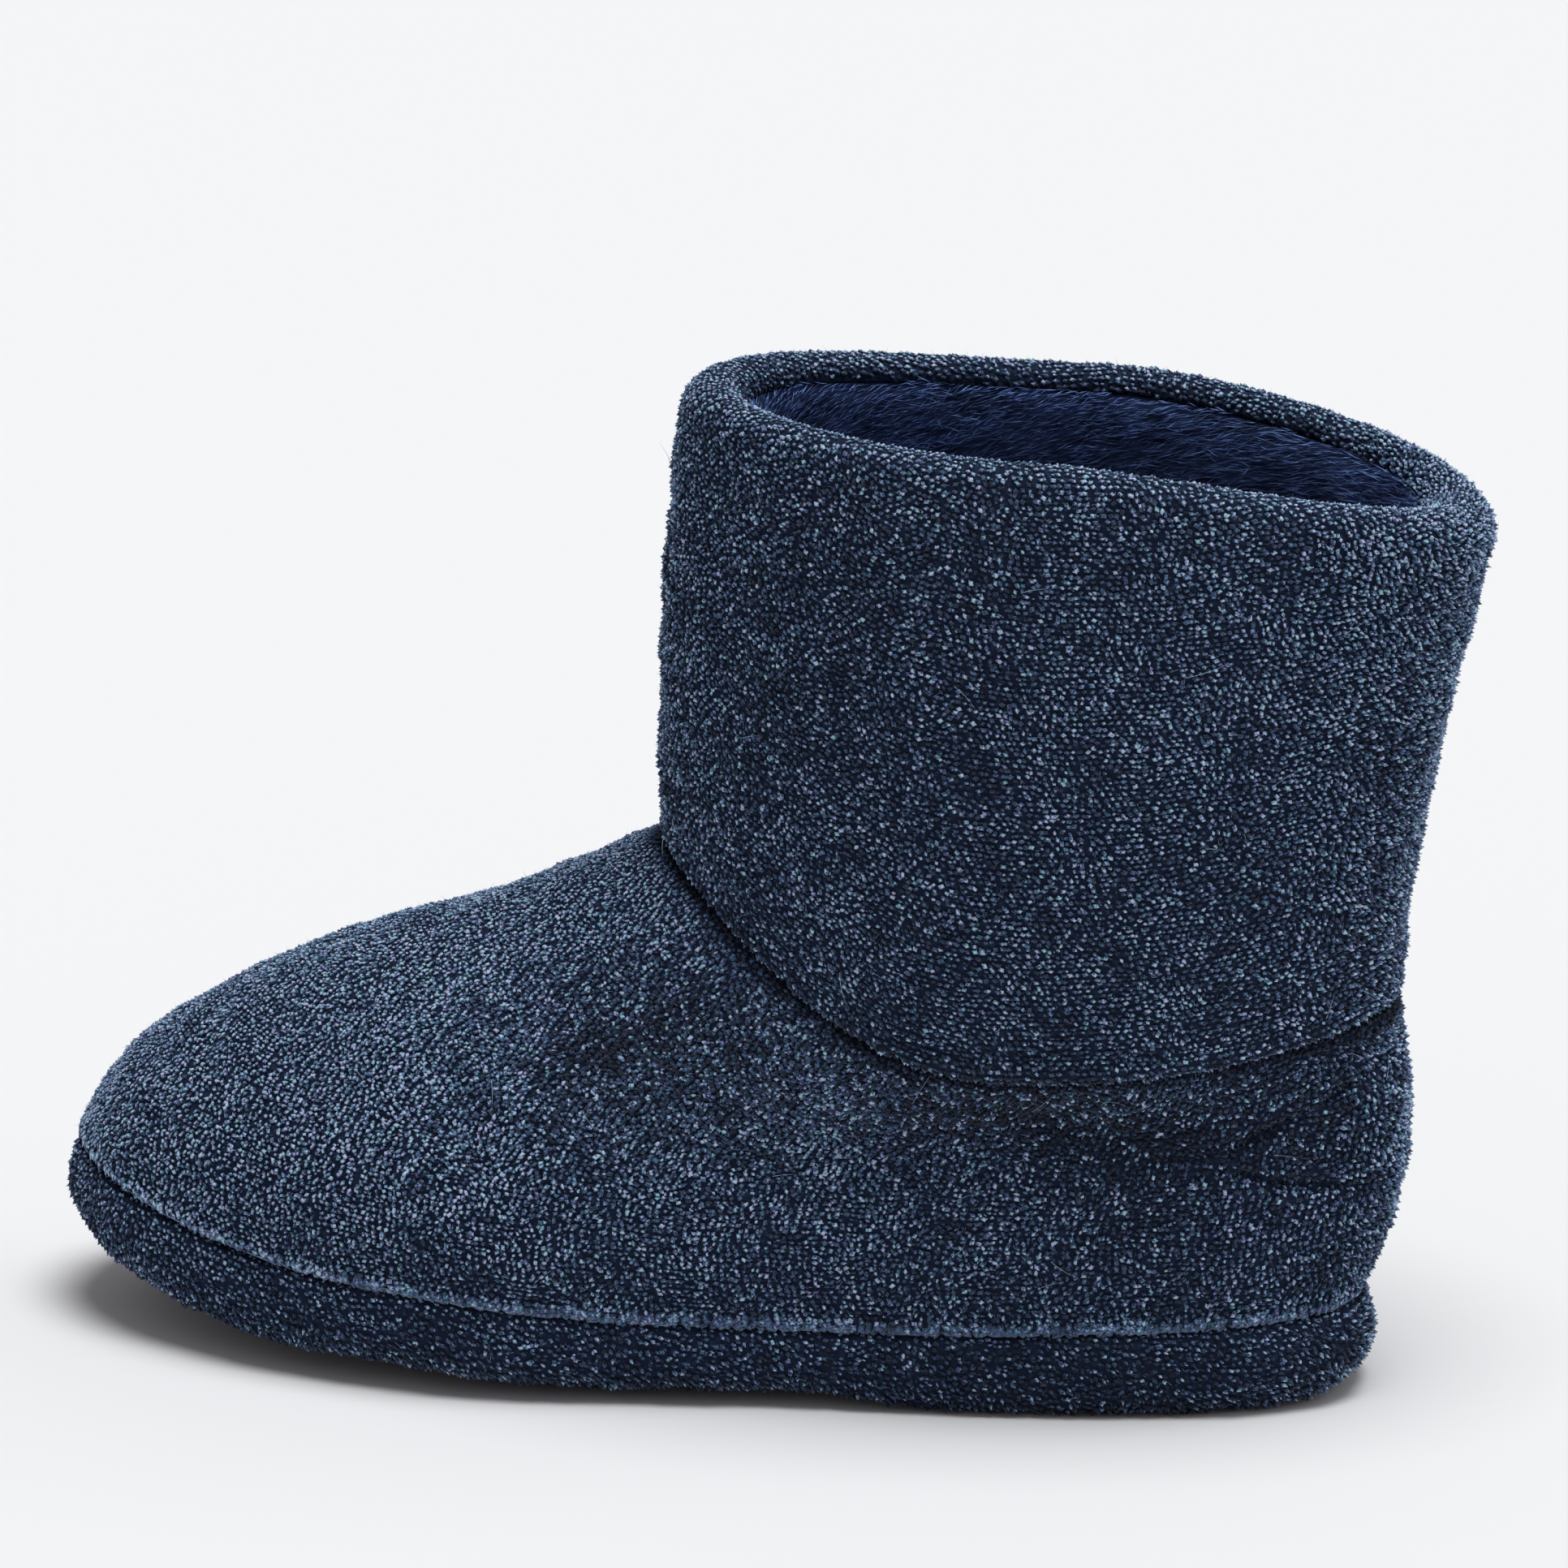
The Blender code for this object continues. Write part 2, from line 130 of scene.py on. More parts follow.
FOOT_COLUMNS = (
    "name", "reach", "heel", "rise_front", "rise_side", "rise_back",
    "draw_in", "fullness", "toe_round", "heel_round",
)
FOOT_SECTIONS = [
    ("feather", 0.982, -0.46, 0.000, 0.00, 0.00, 0.00, 0.965, 2.50, 2.6),
    ("swell", 0.960, 0.31, 0.115, 0.21, 0.18, 0.00, 1.02, 2.45, 2.5),
    ("toe_box", 0.889, 0.85, 0.290, 0.46, 0.45, 0.00, 1.02, 2.30, 2.4),
    ("toe_top", 0.735, 1.00, 0.505, 0.66, 0.64, 0.12, 0.98, 2.20, 2.4),
    ("vamp", 0.529, 1.08, 0.680, 0.79, 0.78, 0.35, 0.96, 2.10, 2.3),
    ("instep", 0.257, 0.85, 0.830, 0.89, 0.90, 0.70, 0.97, 2.10, 2.2),
]

SHAFT_COLUMNS = ("name", "rise_front", "rise_side", "rise_back", "front", "back", "spread")
SHAFT_SECTIONS = [
    ("above_seam", 0.14, 0.19, 0.225, -0.12, 0.11, 1.14),
    ("middle", 0.50, 0.58, 0.575, 0.00, 0.46, 1.43),
    ("under_rim", 0.87, 0.905, 0.91, 0.62, 0.87, 1.14),
    ("rim", 1.00, 1.00, 1.00, 1.00, 1.00, 0.86),
]

AROUND = 480
TURN = np.linspace(0.0, 2.0 * math.pi, AROUND, endpoint=False)
SIDE = np.sign(np.round(np.sin(TURN), 9))
ACROSS = np.abs(np.sin(TURN))
UPWARDS = np.array([0.0, 0.0, 1.0])

# Seams: a groove and the rolled edge beside it are bell curves of the distance from the seam
LIP_AWAY, LIP_SPAN, GROOVE_SPAN = 0.0026, 0.0019, 0.0011
SEAM_OFFSET = 0.0012  # from the middle of the sole seam up to the upper's lowest ring
DRAWN_IN, DRAWN_IN_SPAN = 0.0008, 0.0045  # how far the ankle seam pulls the upper's sides in
ALLOWANCE_IN, ALLOWANCE_UP = 0.0030, 0.0040  # where the seam allowance ends behind the shaft's edge
FACING_DROP = 0.001
FACING_SPAN = 0.022  # distance below the rim over which the roll's thickness passes into the wall's

# Pile: shares are of a cut end's height or of a course
YARN_FOOT = 0.0005  # depth of an end's root in the cloth
BELLY = 0.42  # share of the height where an end is widest
END_ALONG, END_ASIDE = 0.64, 0.45  # half an end's length along its lean and across it, over its width
COURSE_MARGIN = 0.6  # share of a course that stays bare at both edges of a knit
FIBRES_APART = 3.0  # stitches from one loose fibre to the next
PRESSED_SPAN = 0.0027  # distance from the sole seam over which pile is pressed flat
CLOSED_SPAN = 0.0014  # distance from an upper edge over which pile stands lower
LINED_FROM = 40  # the upper's ring from which its lining has pile
LIGHT_DEPTH = 0.022  # how far light falls into the lining
FLOOR_GAP = 0.0002  # no pile reaches lower
HAIR_WIDTH = 0.00012

ROOM_LIGHT, ROOM_STRENGTH = (1.0, 0.96, 0.985, 1.0), 0.29
LAMP_LIGHT = (0.98, 1.0, 0.99)
CAMERA_YAW, CAMERA_RISE = math.radians(12.0), math.radians(15.2)
CAMERA_AIM, CAMERA_REACH, CAMERA_LENS = (0.088, 0.0, 0.1265), 2.2, 236.3
FLOOR_HALF = 9.0

CREASE_COLUMNS = ("name", "side", "x0", "z0", "x1", "z1", "depth", "width")
# Soft troughs pressed into the cloth, in millimetres, and swells with depth below 0. side is 1 on the outer
# side, -1 on the inner and 0 on both.
CREASES = [
    ("heel_slant", 1, -14, 60.0, -29, 68.0, 2.1, 1.5),
    ("heel_slant_end", 1, -29, 68.0, -43, 75.5, 1.2, 1.1),
    ("heel_slant_start", 1, 4, 58.0, -14, 60.0, 1.1, 2.0),
    ("heel_fold", 1, -15, 56.0, -26, 52.0, 2.1, 1.4),
    ("heel_fold_end", 1, -26, 52.0, -39, 51.0, 1.9, 1.4),
    ("quarter_hollow", 1, 36, 69.0, 12, 66.0, 0.8, 4.5),
    ("quarter_shelf", 1, 30, 62.0, -10, 62.0, 0.5, 7.0),
    ("band_join", 1, 69.7, 19.0, 69.5, 6.0, 1.1, 0.9),
    ("heel_swell", 0, -46, 60.0, -45, 42.0, -1.3, 11.0),
    ("heel_tuck", 0, -47, 76.0, -40, 76.0, 1.1, 6.0),
    ("ball_dimple", 1, 155, 64.0, 141, 46.0, 0.9, 7.0),
    ("ankle_pull", 1, 94, 101.0, 76, 84.0, 1.0, 4.0),
    ("shaft_dent", 1, 40, 190.0, 36, 140.0, 0.8, 13.0),
    ("shaft_dent_low", 1, 33, 140.0, 42, 116.0, 0.7, 9.0),
    ("inner_slant", -1, -10, 62.0, -34, 73.0, 1.3, 1.7),
    ("inner_hollow", -1, 40, 70.0, 0, 68.0, 1.2, 5.0),
    ("inner_dimple", -1, 150, 60.0, 136, 47.0, 0.9, 7.5),
    ("inner_shaft_dent", -1, 30, 186.0, 44, 128.0, 0.8, 12.0),
]

PATCH_COLUMNS = ("name", "side", "x", "z", "x_size", "z_size", "lift")
# Patches of painted light (lift above 0) and painted shade (lift below 0) on the pile, in millimetres
LIGHT_AND_SHADE_PATCHES = [
    ("toe", 0, 210, 64, 40, 32, 0.95),
    ("vamp_middle", 1, 114, 78, 36, 17, -0.50),
    ("under_ankle_front", 0, 58, 82, 15, 6, -0.32),
    ("under_ankle", 1, 31, 70, 26, 8, -0.85),
    ("quarter", 1, 3, 62, 22, 9, -0.55),
    ("quarter_back", 1, -26, 65, 14, 10, -0.40),
    ("quarter_low", 0, -2, 46, 14, 14, -0.14),
    ("foot_low", 0, 126, 39, 66, 13, 0.20),
    ("shaft_front", 0, 66, 168, 26, 44, -0.20),
    ("shaft_streak", 1, 38, 150, 6, 42, -0.10),
    ("shaft_back", 0, -7, 157, 26, 28, 0.12),
    ("shaft_front_low", 0, 72, 117, 13, 15, 0.14),
    ("shaft_edge", 0, -48, 186, 16, 26, 0.30),
    ("shaft_low", 0, 8, 96, 30, 8, 0.10),
    ("vamp_fold", 0, 96, 100, 12, 9, -0.14),
    ("heel_edge", 0, -50, 50, 8, 40, 0.16),
    ("band_middle", 0, 20, 10, 40, 9, -0.34),
]

# Folds of the cloth: wavelength along X, Y and Z and height, in millimetres
RIPPLES = [
    (47.0, 31.0, 38.0, 0.40),
    (-26.0, 35.0, 22.0, 0.30),
    (17.0, -21.0, 15.0, 0.18),
    (11.0, 13.0, -9.5, 0.10),
]


def linear(code):
    """A hex sRGB colour as linear red, green and blue."""
    parts = [int(code[i : i + 2], 16) / 255 for i in (1, 3, 5)]
    return tuple(p / 12.92 if p <= 0.04045 else ((p + 0.055) / 1.055) ** 2.4 for p in parts)


def length_property(name, description, default):
    """A property that holds a length in metres."""
    return FloatProperty(name=name, description=description, default=default, unit="LENGTH", precision=5)


def colour_property(name, description, code):
    """A property that holds a colour, from its hex sRGB value."""
    return FloatVectorProperty(
        name=name, description=description, default=linear(code), subtype="COLOR", size=3
    )


class SlipperPile(PropertyGroup):
    """Sizes of the knit's pile, its lining and its seams"""

    course: length_property("Course", "Height of one knitted row", 0.00118)
    wale: length_property("Wale", "Width of one knitted stitch", 0.00165)
    pile_height: length_property("Pile height", "How far a cut end stands up", 0.0010)
    pile_reach: length_property("Pile reach", "How far a cut end leans over", 0.0004)
    pile_width: length_property("Pile width", "Width of one cut end", 0.00114)
    fibre_length: length_property("Fibre length", "Length of loose fibres", 0.0016)
    fibre_width: length_property("Fibre width", "Width of loose fibres", 0.00009)
    lining_length: length_property("Lining pile", "Length of the lining's pile", 0.0050)
    lining_spacing: length_property("Lining spacing", "Between strands of lining", 0.00105)
    groove: length_property("Seam groove", "Depth of the groove at a seam", 0.0020)
    lip: length_property("Seam lip", "Height of the roll beside a seam", 0.0010)
    seed: IntProperty(name="Seed", description="Start of the scatter of tufts", default=7)


class SlipperColours(PropertyGroup):
    """Colours of the knit, the lining, the sole and the studio"""

    # gap is the pile's darkest colour, which the painted shade at roots, seams and creases reaches
    gap: colour_property("Gap", "Between the tufts", "#131420")
    navy: colour_property("Navy", "Dark yarn", "#1f2a41")
    steel: colour_property("Steel blue", "Middle yarn", "#4d6c94")
    pale: colour_property("Pale", "Light yarn", "#c4d8e8")
    fleece_dark: colour_property("Lining root", "Deep in the lining", "#191d32")
    fleece_blue: colour_property("Lining tip", "Lining where light falls", "#8cb0ff")
    sole: colour_property("Sole", "Cloth under the sole", "#20242e")
    floor: colour_property("Floor", "Studio paper", "#ebebed")


def unit(vectors):
    """The same directions, one long."""
    return vectors / np.maximum(np.linalg.norm(vectors, axis=-1, keepdims=True), 1e-12)


def level(vectors):
    """The same directions laid level."""
    return unit(vectors * (1.0, 1.0, 0.0))


def ease(stations, values, at):
    """A smooth curve through a table: cubic pieces whose slopes are means of the slopes on both sides."""
    stations = np.asarray(stations, float)
    values = np.asarray(values, float)
    at = np.clip(np.asarray(at, float), stations[0], stations[-1])
    steps = np.diff(stations).reshape((-1,) + (1,) * (values.ndim - 1))
    rates = np.diff(values, axis=0) / steps
    slopes = np.empty_like(values)
    slopes[0], slopes[-1] = rates[0], rates[-1]
    slopes[1:-1] = (rates[:-1] * steps[1:] + rates[1:] * steps[:-1]) / (steps[:-1] + steps[1:])
    piece = np.clip(np.searchsorted(stations, at, side="right") - 1, 0, len(stations) - 2)
    shape = at.shape + (1,) * (values.ndim - 1)
    step = (stations[piece + 1] - stations[piece]).reshape(shape)
    t = (at - stations[piece]).reshape(shape) / step
    return (
        values[piece] * (1 + 2 * t) * (1 - t) ** 2
        + slopes[piece] * step * t * (1 - t) ** 2
        + values[piece + 1] * t * t * (3 - 2 * t)
        + slopes[piece + 1] * step * t * t * (t - 1)
    )


def share_along(x):
    """Share of the sole's length at X: 0 at the heel's end and 1 at the toe's."""
    return (x - HEEL_END) / SOLE_LENGTH


def over_range(x, start, end):
    """0 before a range of the sole, 1 past it and a share of its length inside."""
    return np.clip((share_along(x) - start) / (end - start), 0.0, 1.0)


def under_ball(x):
    """1 under the ball and 0 under heel and toes: it rises along the arch and falls past the ball, each with
    the squared sine of a quarter turn."""
    before = np.sin(math.pi / 2 * over_range(x, ARCH_FROM, ARCH_TO)) ** 2
    after = np.sin(math.pi / 2 * over_range(x, BALL_FROM, BALL_TO)) ** 2
    return before * (1 - after)


def spring(x):
    """Height of the toe spring: a power of the share of the way from where it starts."""
    share = np.clip((share_along(x) - SPRING_FROM) / (1.0 - SPRING_FROM), 0.0, None)
    return TOE_SPRING * share**SPRING_POWER


def underside(x):
    """Height of the underside: the squared sine of half a turn along the arch, plus the toe spring."""
    return ARCH_RISE * np.sin(math.pi * over_range(x, ARCH_FROM, ARCH_TO)) ** ARCH_POWER + spring(x)


def sole_top(x):
    """Height of the sole's upper edge: from the ball's to each end's with a power of the distance from the
    middle, plus the toe spring and a bell curve where the seam rises."""
    across = 2 * share_along(x) - 1
    end = np.where(across > 0, SOLE_AT_TOE, SOLE_AT_HEEL)
    rise = SEAM_RISE * np.exp(-(((x - SEAM_RISE_AT) / SEAM_RISE_SPAN) ** 2))
    return SOLE_AT_BALL + (end - SOLE_AT_BALL) * np.abs(across) ** SOLE_POWER + spring(x) + rise


def middle_line(x):
    """Y of the middle line: it swings to the inner side with a power of the way to the toe."""
    return -TOE_SWING * np.clip((share_along(x) - SWING_FROM) / (1 - SWING_FROM), 0.0, None) ** SWING_POWER


def end_round(across, power):
    """Half width left towards a ring's end: one minus the distance to a power, to one over that power."""
    return np.clip(1.0 - np.abs(across) ** power, 0.0, None) ** (1.0 / power)


def half_width(x, side):
    """Half width of the sole at X on a side: a curve through the outline's widths. Each is over the rounding
    of its place, because a ring's own rounding is multiplied in later."""
    stations, widths, lateral = (np.array(column) for column in zip(*OUTLINE))
    across = 2 * stations - 1
    rounding = end_round(across, np.where(across > 0, TOE_ROUND, HEEL_ROUND))
    outer = ease(stations, widths * lateral / rounding, share_along(x))
    inner = ease(stations, widths * (1 - lateral) / rounding, share_along(x))
    return np.where(side > 0, outer, inner)


def ring_plan(front, back, front_round, back_round):
    """X and end rounding of a ring: X is the middle plus half the length times the cosine of the turn."""
    c = np.cos(TURN)
    x = (front + back) / 2 + (front - back) / 2 * c
    return x, end_round(c, np.where(c > 0, front_round, back_round))


def three_way(front, side, back, back_power=BACK_POWER):
    """A value that goes from front over side to back round a ring."""
    c = np.cos(TURN)
    forward = 1 - (1 - c * c) ** FRONT_POWER
    return np.where(c > 0, side + (front - side) * forward, side + (back - side) * np.abs(c) ** back_power)


def sole_ring(section):
    """A ring round the sole: half width times fullness and end rounding, a share of the way up from the
    underside to the upper edge. Fullness and share go from the heel's to the ball's under the ball."""
    row = dict(zip(SOLE_COLUMNS, section))
    draw = row["ends"] * SOLE_AT_HEEL
    x, rounding = ring_plan(TOE_END - draw, HEEL_END + draw, TOE_ROUND, HEEL_ROUND)
    ball = under_ball(x)
    fullness = row["heel_fullness"] + ball * (row["ball_fullness"] - row["heel_fullness"])
    height = row["heel_height"] + ball * (row["ball_height"] - row["heel_height"])
    y = middle_line(x) + SIDE * half_width(x, SIDE) * fullness * rounding
    return np.stack([x, y, underside(x) + height * (sole_top(x) - underside(x))], axis=-1)


def ankle_height():
    """Height of the ankle seam at each turn."""
    return three_way(INSTEP_HEIGHT, ANKLE_SIDE_HEIGHT, ANKLE_BACK_HEIGHT, SEAM_BACK_POWER)


def ankle_ring():
    """The ankle seam: a rounded oval seen from above, at the seam's height."""
    x, rounding = ring_plan(ANKLE_REACH, ANKLE_BACK, SHAFT_ROUND, SHAFT_ROUND)
    return np.stack([x, SIDE * ANKLE_WIDTH / 2 * rounding, ankle_height()], axis=-1)


def foot_ring(section):
    """A ring of the upper: a share of the way up from the sole's upper edge to the ankle seam, and a share
    of the way in from the foot's outline to the ankle's."""
    row = dict(zip(FOOT_COLUMNS, section))
    front = ANKLE_REACH + row["reach"] * (TOE_END - ANKLE_REACH)
    back = HEEL_END - row["heel"] * HEEL_SWELL
    x, rounding = ring_plan(front, back, row["toe_round"], row["heel_round"])
    foot = half_width(x, SIDE) * row["fullness"]
    half = foot + row["draw_in"] * (ANKLE_WIDTH / 2 - foot)
    y = middle_line(x) * (1 - row["draw_in"]) + SIDE * half * rounding
    rise = three_way(row["rise_front"], row["rise_side"], row["rise_back"])
    return np.stack([x, y, sole_top(x) + rise * (ankle_height() - sole_top(x))], axis=-1)


def collar_roll():
    """Thickness of the rolled collar round the mouth: from the side's to each end's with the sixth power of
    the cosine of the turn."""
    c = np.cos(TURN)
    return ROLL_SIDE + (np.where(c > 0, ROLL_FRONT, ROLL_BACK) - ROLL_SIDE) * c**6


def shaft_ring(section):
    """A ring of the shaft: a share of the way up from the ankle seam to the middle of the collar's roll, and
    a share of the way out from the ankle's oval to the collar's."""
    row = dict(zip(SHAFT_COLUMNS, section))
    front = ANKLE_REACH + row["front"] * (COLLAR_REACH - ANKLE_REACH)
    back = ANKLE_BACK + row["back"] * (COLLAR_BACK - ANKLE_BACK)
    x, rounding = ring_plan(front, back, SHAFT_ROUND, SHAFT_ROUND)
    half = (ANKLE_WIDTH + row["spread"] * (COLLAR_WIDTH - ANKLE_WIDTH)) / 2
    side = np.where(SIDE > 0, COLLAR_OUTER_HEIGHT, COLLAR_INNER_HEIGHT)
    rim = three_way(COLLAR_FRONT_HEIGHT, side, COLLAR_BACK_HEIGHT) - collar_roll() / 2
    rise = three_way(row["rise_front"], row["rise_side"], row["rise_back"])
    return np.stack([x, SIDE * half * rounding, ankle_height() + rise * (rim - ankle_height())], axis=-1)


def directions(grid):
    """Around, up and outward: the differences along and across a grid of rings, and their cross product."""
    around = unit(np.roll(grid, -1, axis=1) - np.roll(grid, 1, axis=1))
    up = unit(np.gradient(grid, axis=0))
    return around, up, unit(np.cross(around, up))


def lofted(rings, start, rows):
    """A grid of rings eased through the sections, from a share of the first one to the last."""
    return ease(np.arange(len(rings)), np.array(rings), np.linspace(start, len(rings) - 1, rows))


def climbed(grid):
    """Length along the surface from the lowest ring, up each column of a grid."""
    steps = np.linalg.norm(np.diff(grid, axis=0), axis=-1)
    return np.concatenate([np.zeros((1, grid.shape[1])), np.cumsum(steps, axis=0)])


def on_side(points, side):
    """1 on the named side of the slipper, 0 on the other and soft between them, or 1 all over."""
    return 1 / (1 + np.exp(-side * points[..., 1] * 1000 / 4)) if side else 1.0


def crease_lines(points):
    """For each crease, its row and, at each point, the distance from its line over its width, with a weight
    that fades at its ends and on the slipper's other side."""
    flat = points[..., (0, 2)] * 1000
    for crease in CREASES:
        row = dict(zip(CREASE_COLUMNS, crease))
        start = np.array([row["x0"], row["z0"]], float)
        run = np.array([row["x1"], row["z1"]], float) - start
        share = np.clip(((flat - start) @ run) / (run @ run), 0.0, 1.0)
        away = np.linalg.norm(flat - start - share[..., None] * run, axis=-1) / row["width"]
        onside = on_side(points, row["side"])
        yield row, away, onside * (0.35 + 0.65 * np.sin(math.pi * np.clip(share, 0.08, 0.92)))


def pressed(points):
    """How far the cloth lies under its smooth form: a bell-shaped trough round each crease's line, with a low
    ridge on both sides, plus ripples that are products of sines of X, Y and Z."""
    depth = np.zeros(points.shape[:-1])
    for row, away, weight in crease_lines(points):
        depth += row["depth"] * weight * (np.exp(-(away**2)) - 0.35 * np.exp(-((away - 1.9) ** 2)))
    for x_wave, y_wave, z_wave, height in RIPPLES:
        waves = 2 * math.pi * 1000 / np.array([x_wave, y_wave, z_wave])
        x, y, z = np.moveaxis(points * waves, -1, 0)
        depth += height * np.sin(x + 1.3 * np.sin(z)) * np.sin(y + z)
    return depth / 1000


def patch_light_and_shade(points):
    """Painted light and shade on the pile, from its patches: one plus a bell curve along X and Z for each."""
    lift = np.ones(points.shape[:-1])
    for patch in LIGHT_AND_SHADE_PATCHES:
        row = dict(zip(PATCH_COLUMNS, patch))
        along = (points[..., 0] * 1000 - row["x"]) / row["x_size"]
        above = (points[..., 2] * 1000 - row["z"]) / row["z_size"]
        onside = on_side(points, row["side"])
        lift += row["lift"] * onside * np.exp(-(along**2) - above**2)
    return lift


def pinched(points):
    """1 in the bottom of a sharp crease and 0 away from it: there the pile closes up and gets painted shade.
    """
    pinch = np.zeros(points.shape[:-1])
    for row, away, weight in crease_lines(points):
        sharp = np.clip(1.4 * row["depth"] / row["width"] - 0.5, 0.0, 1.0)
        pinch = np.maximum(pinch, sharp * weight * np.exp(-((away * 1.2) ** 2)))
    return pinch


def seam_form(away, groove, lip):
    """Height of the cloth at a distance from a seam: down into the groove, then up over the rolled edge."""
    rolled_edge = lip * np.exp(-(((away - LIP_AWAY) / LIP_SPAN) ** 2))
    return rolled_edge - groove * np.exp(-((away / GROOVE_SPAN) ** 2))


def at_toe():
    """1 round the toe and 0 behind it, with a soft change at the ball."""
    return 1 / (1 + np.exp((0.60 - np.cos(TURN)) * 25))


def foot_forms(sizes, rows=150):
    """The upper's smooth form, and its dressed form with seams and creases."""
    smooth = lofted([foot_ring(section) for section in FOOT_SECTIONS] + [ankle_ring()], 0, rows)
    normal = directions(smooth)[2]
    run = climbed(smooth)
    left = run[-1] - run
    drawn_in = DRAWN_IN * np.exp(-((left / DRAWN_IN_SPAN) ** 2)) * ACROSS
    height = seam_form(run + SEAM_OFFSET, sizes.groove * at_toe(), sizes.lip * 1.1) - drawn_in
    height += seam_form(left, sizes.groove * (0.5 + 0.7 * ACROSS), 0.0)
    fade = np.clip(np.minimum(run, left) / 0.008, 0.0, 1.0)
    return smooth, smooth + normal * (height - pressed(smooth) * fade)[..., None]


def shaft_forms(sizes, rows=130):
    """The shaft's outer wall up to the rim: its smooth form, and its dressed form with seam and creases."""
    smooth = lofted([ankle_ring()] + [shaft_ring(section) for section in SHAFT_SECTIONS], 0, rows)
    normal = directions(smooth)[2]
    normal[-1] = level(normal[-1])
    run = climbed(smooth)
    height = seam_form(run, sizes.groove * (0.5 + 0.7 * ACROSS), sizes.lip * (0.3 + 0.9 * ACROSS))
    fade = np.clip(np.minimum(run, run[-1] - run) / 0.012, 0.0, 1.0)
    return smooth, smooth + normal * (height - pressed(smooth) * fade)[..., None]


def rolled(rim, rows=20):
    """The collar over the rim: half a circle inwards in the upright plane, and on down for a short facing."""
    around = unit(np.roll(rim, -1, axis=0) - np.roll(rim, 1, axis=0))
    out = level(np.cross(around, UPWARDS))
    radius = (collar_roll() / 2)[:, None]
    angle = np.linspace(0, math.pi, rows)[1:, None, None]
    turned = rim - out * radius * (1 - np.cos(angle)) + UPWARDS * radius * np.sin(angle)
    fall = np.linspace(0, FACING_DROP, 3)[1:, None, None]
    return np.concatenate([turned, turned[-1] - fall * UPWARDS])


def lining_form(sizes):
    """The lining's surface in the shaft, from the ankle up. It lies a wall's thickness inside the outer form
    and swells in to the collar's facing with a bell curve down from the rim."""
    smooth = shaft_forms(sizes)[0]
    normal = directions(smooth)[2]
    normal[-1] = level(normal[-1])
    run = climbed(smooth)
    swell = np.exp(-(((run[-1] - run) / FACING_SPAN) ** 2))
    depth = SHAFT_WALL + (collar_roll() - SHAFT_WALL) * swell
    return smooth - normal * depth[..., None]


def collar_form(sizes):
    """The knit's whole surface on the shaft: outer wall, roll and facing."""
    dressed = shaft_forms(sizes)[1]
    return np.concatenate([dressed, rolled(dressed[-1])])


def band_forms(sizes, rows=34):
    """The strip round the sole's side: its smooth form, and its dressed form with the upper's seam."""
    smooth = lofted([sole_ring(section) for section in SOLE_SECTIONS], BAND_FROM, rows)
    normal = directions(smooth)[2]
    run = climbed(smooth)
    height = seam_form(run[-1] - run, sizes.groove * (0.3 + 0.6 * at_toe()), 0.0)
    return smooth, smooth + normal * (height - 0.7 * pressed(smooth) * np.clip(run / 0.004, 0, 1))[..., None]


def new_mesh(name, points, faces, makers, values=None):
    """A mesh object from an array of points and an array of faces with equal corner counts, in the finishes
    that the makers give and with values at its points."""
    mesh = bpy.data.meshes.new(name)
    corners = faces.shape[1]
    mesh.vertices.add(len(points))
    mesh.vertices.foreach_set("co", np.ascontiguousarray(points, np.float32).ravel())
    mesh.loops.add(faces.size)
    mesh.loops.foreach_set("vertex_index", np.ascontiguousarray(faces, np.int32).ravel())
    mesh.polygons.add(len(faces))
    mesh.polygons.foreach_set("loop_start", np.arange(len(faces), dtype=np.int32) * corners)
    mesh.update(calc_edges=True)
    mesh.validate()
    mesh.shade_smooth()
    for maker in makers:
        mesh.materials.append(finish_of(maker))
    for key, numbers in (values or {}).items():
        layer = mesh.attributes.new(key, "FLOAT", "POINT")
        layer.data.foreach_set("value", np.ascontiguousarray(numbers, np.float32).ravel())
    piece = bpy.data.objects.new(name, mesh)
    bpy.context.scene.collection.objects.link(piece)
    return piece


def grid_faces(rows, columns, closed):
    """Corner numbers of a grid's faces. Columns always join up, and rows do if closed."""
    last = rows if closed else rows - 1
    row, column = np.meshgrid(np.arange(last), np.arange(columns), indexing="ij")
    up, on = (row + 1) % rows, (column + 1) % columns
    return np.stack(
        [row * columns + column, row * columns + on, up * columns + on, up * columns + column], axis=-1
    ).reshape(-1, 4)


def shell(name, outer, inner, inside):
    """A closed wall from outer rings up and inner rings down: knit outside, and inside what a maker gives."""
    rings = np.concatenate([outer, inner[::-1]])
    faces = grid_faces(len(rings), rings.shape[1], True)
    piece = new_mesh(name, rings.reshape(-1, 3), faces, (knit_ground, inside))
    kind = np.zeros((len(rings), rings.shape[1]), np.int32)
    kind[len(outer) : -1] = 1
    piece.data.polygons.foreach_set("material_index", kind.ravel())
    return piece


def pad(name, rings, maker):
    """A closed pad from rings that begin and end on its middle line, of which it keeps every third column."""
    rings = rings[:, ::3]
    return new_mesh(name, rings.reshape(-1, 3), grid_faces(*rings.shape[:2], False), (maker,))


def coarser(grid, rows):
    """A grid with fewer rows, first and last kept, and every third column."""
    return grid[np.linspace(0, len(grid) - 1, rows).round().astype(int)][:, ::3]


def sampled(grid, row, column):
    """Values of a grid between its rows and columns, weighted from the four nearest. Columns join up."""
    rows, columns = grid.shape[:2]
    low = np.clip(np.floor(row).astype(int), 0, rows - 2)
    left = np.floor(column).astype(int)
    tall, wide = (row - low)[..., None], (column - left)[..., None]
    left, right = left % columns, (left + 1) % columns
    bottom = grid[low, left] * (1 - wide) + grid[low, right] * wide
    top = grid[low + 1, left] * (1 - wide) + grid[low + 1, right] * wide
    return bottom * (1 - tall) + top * tall


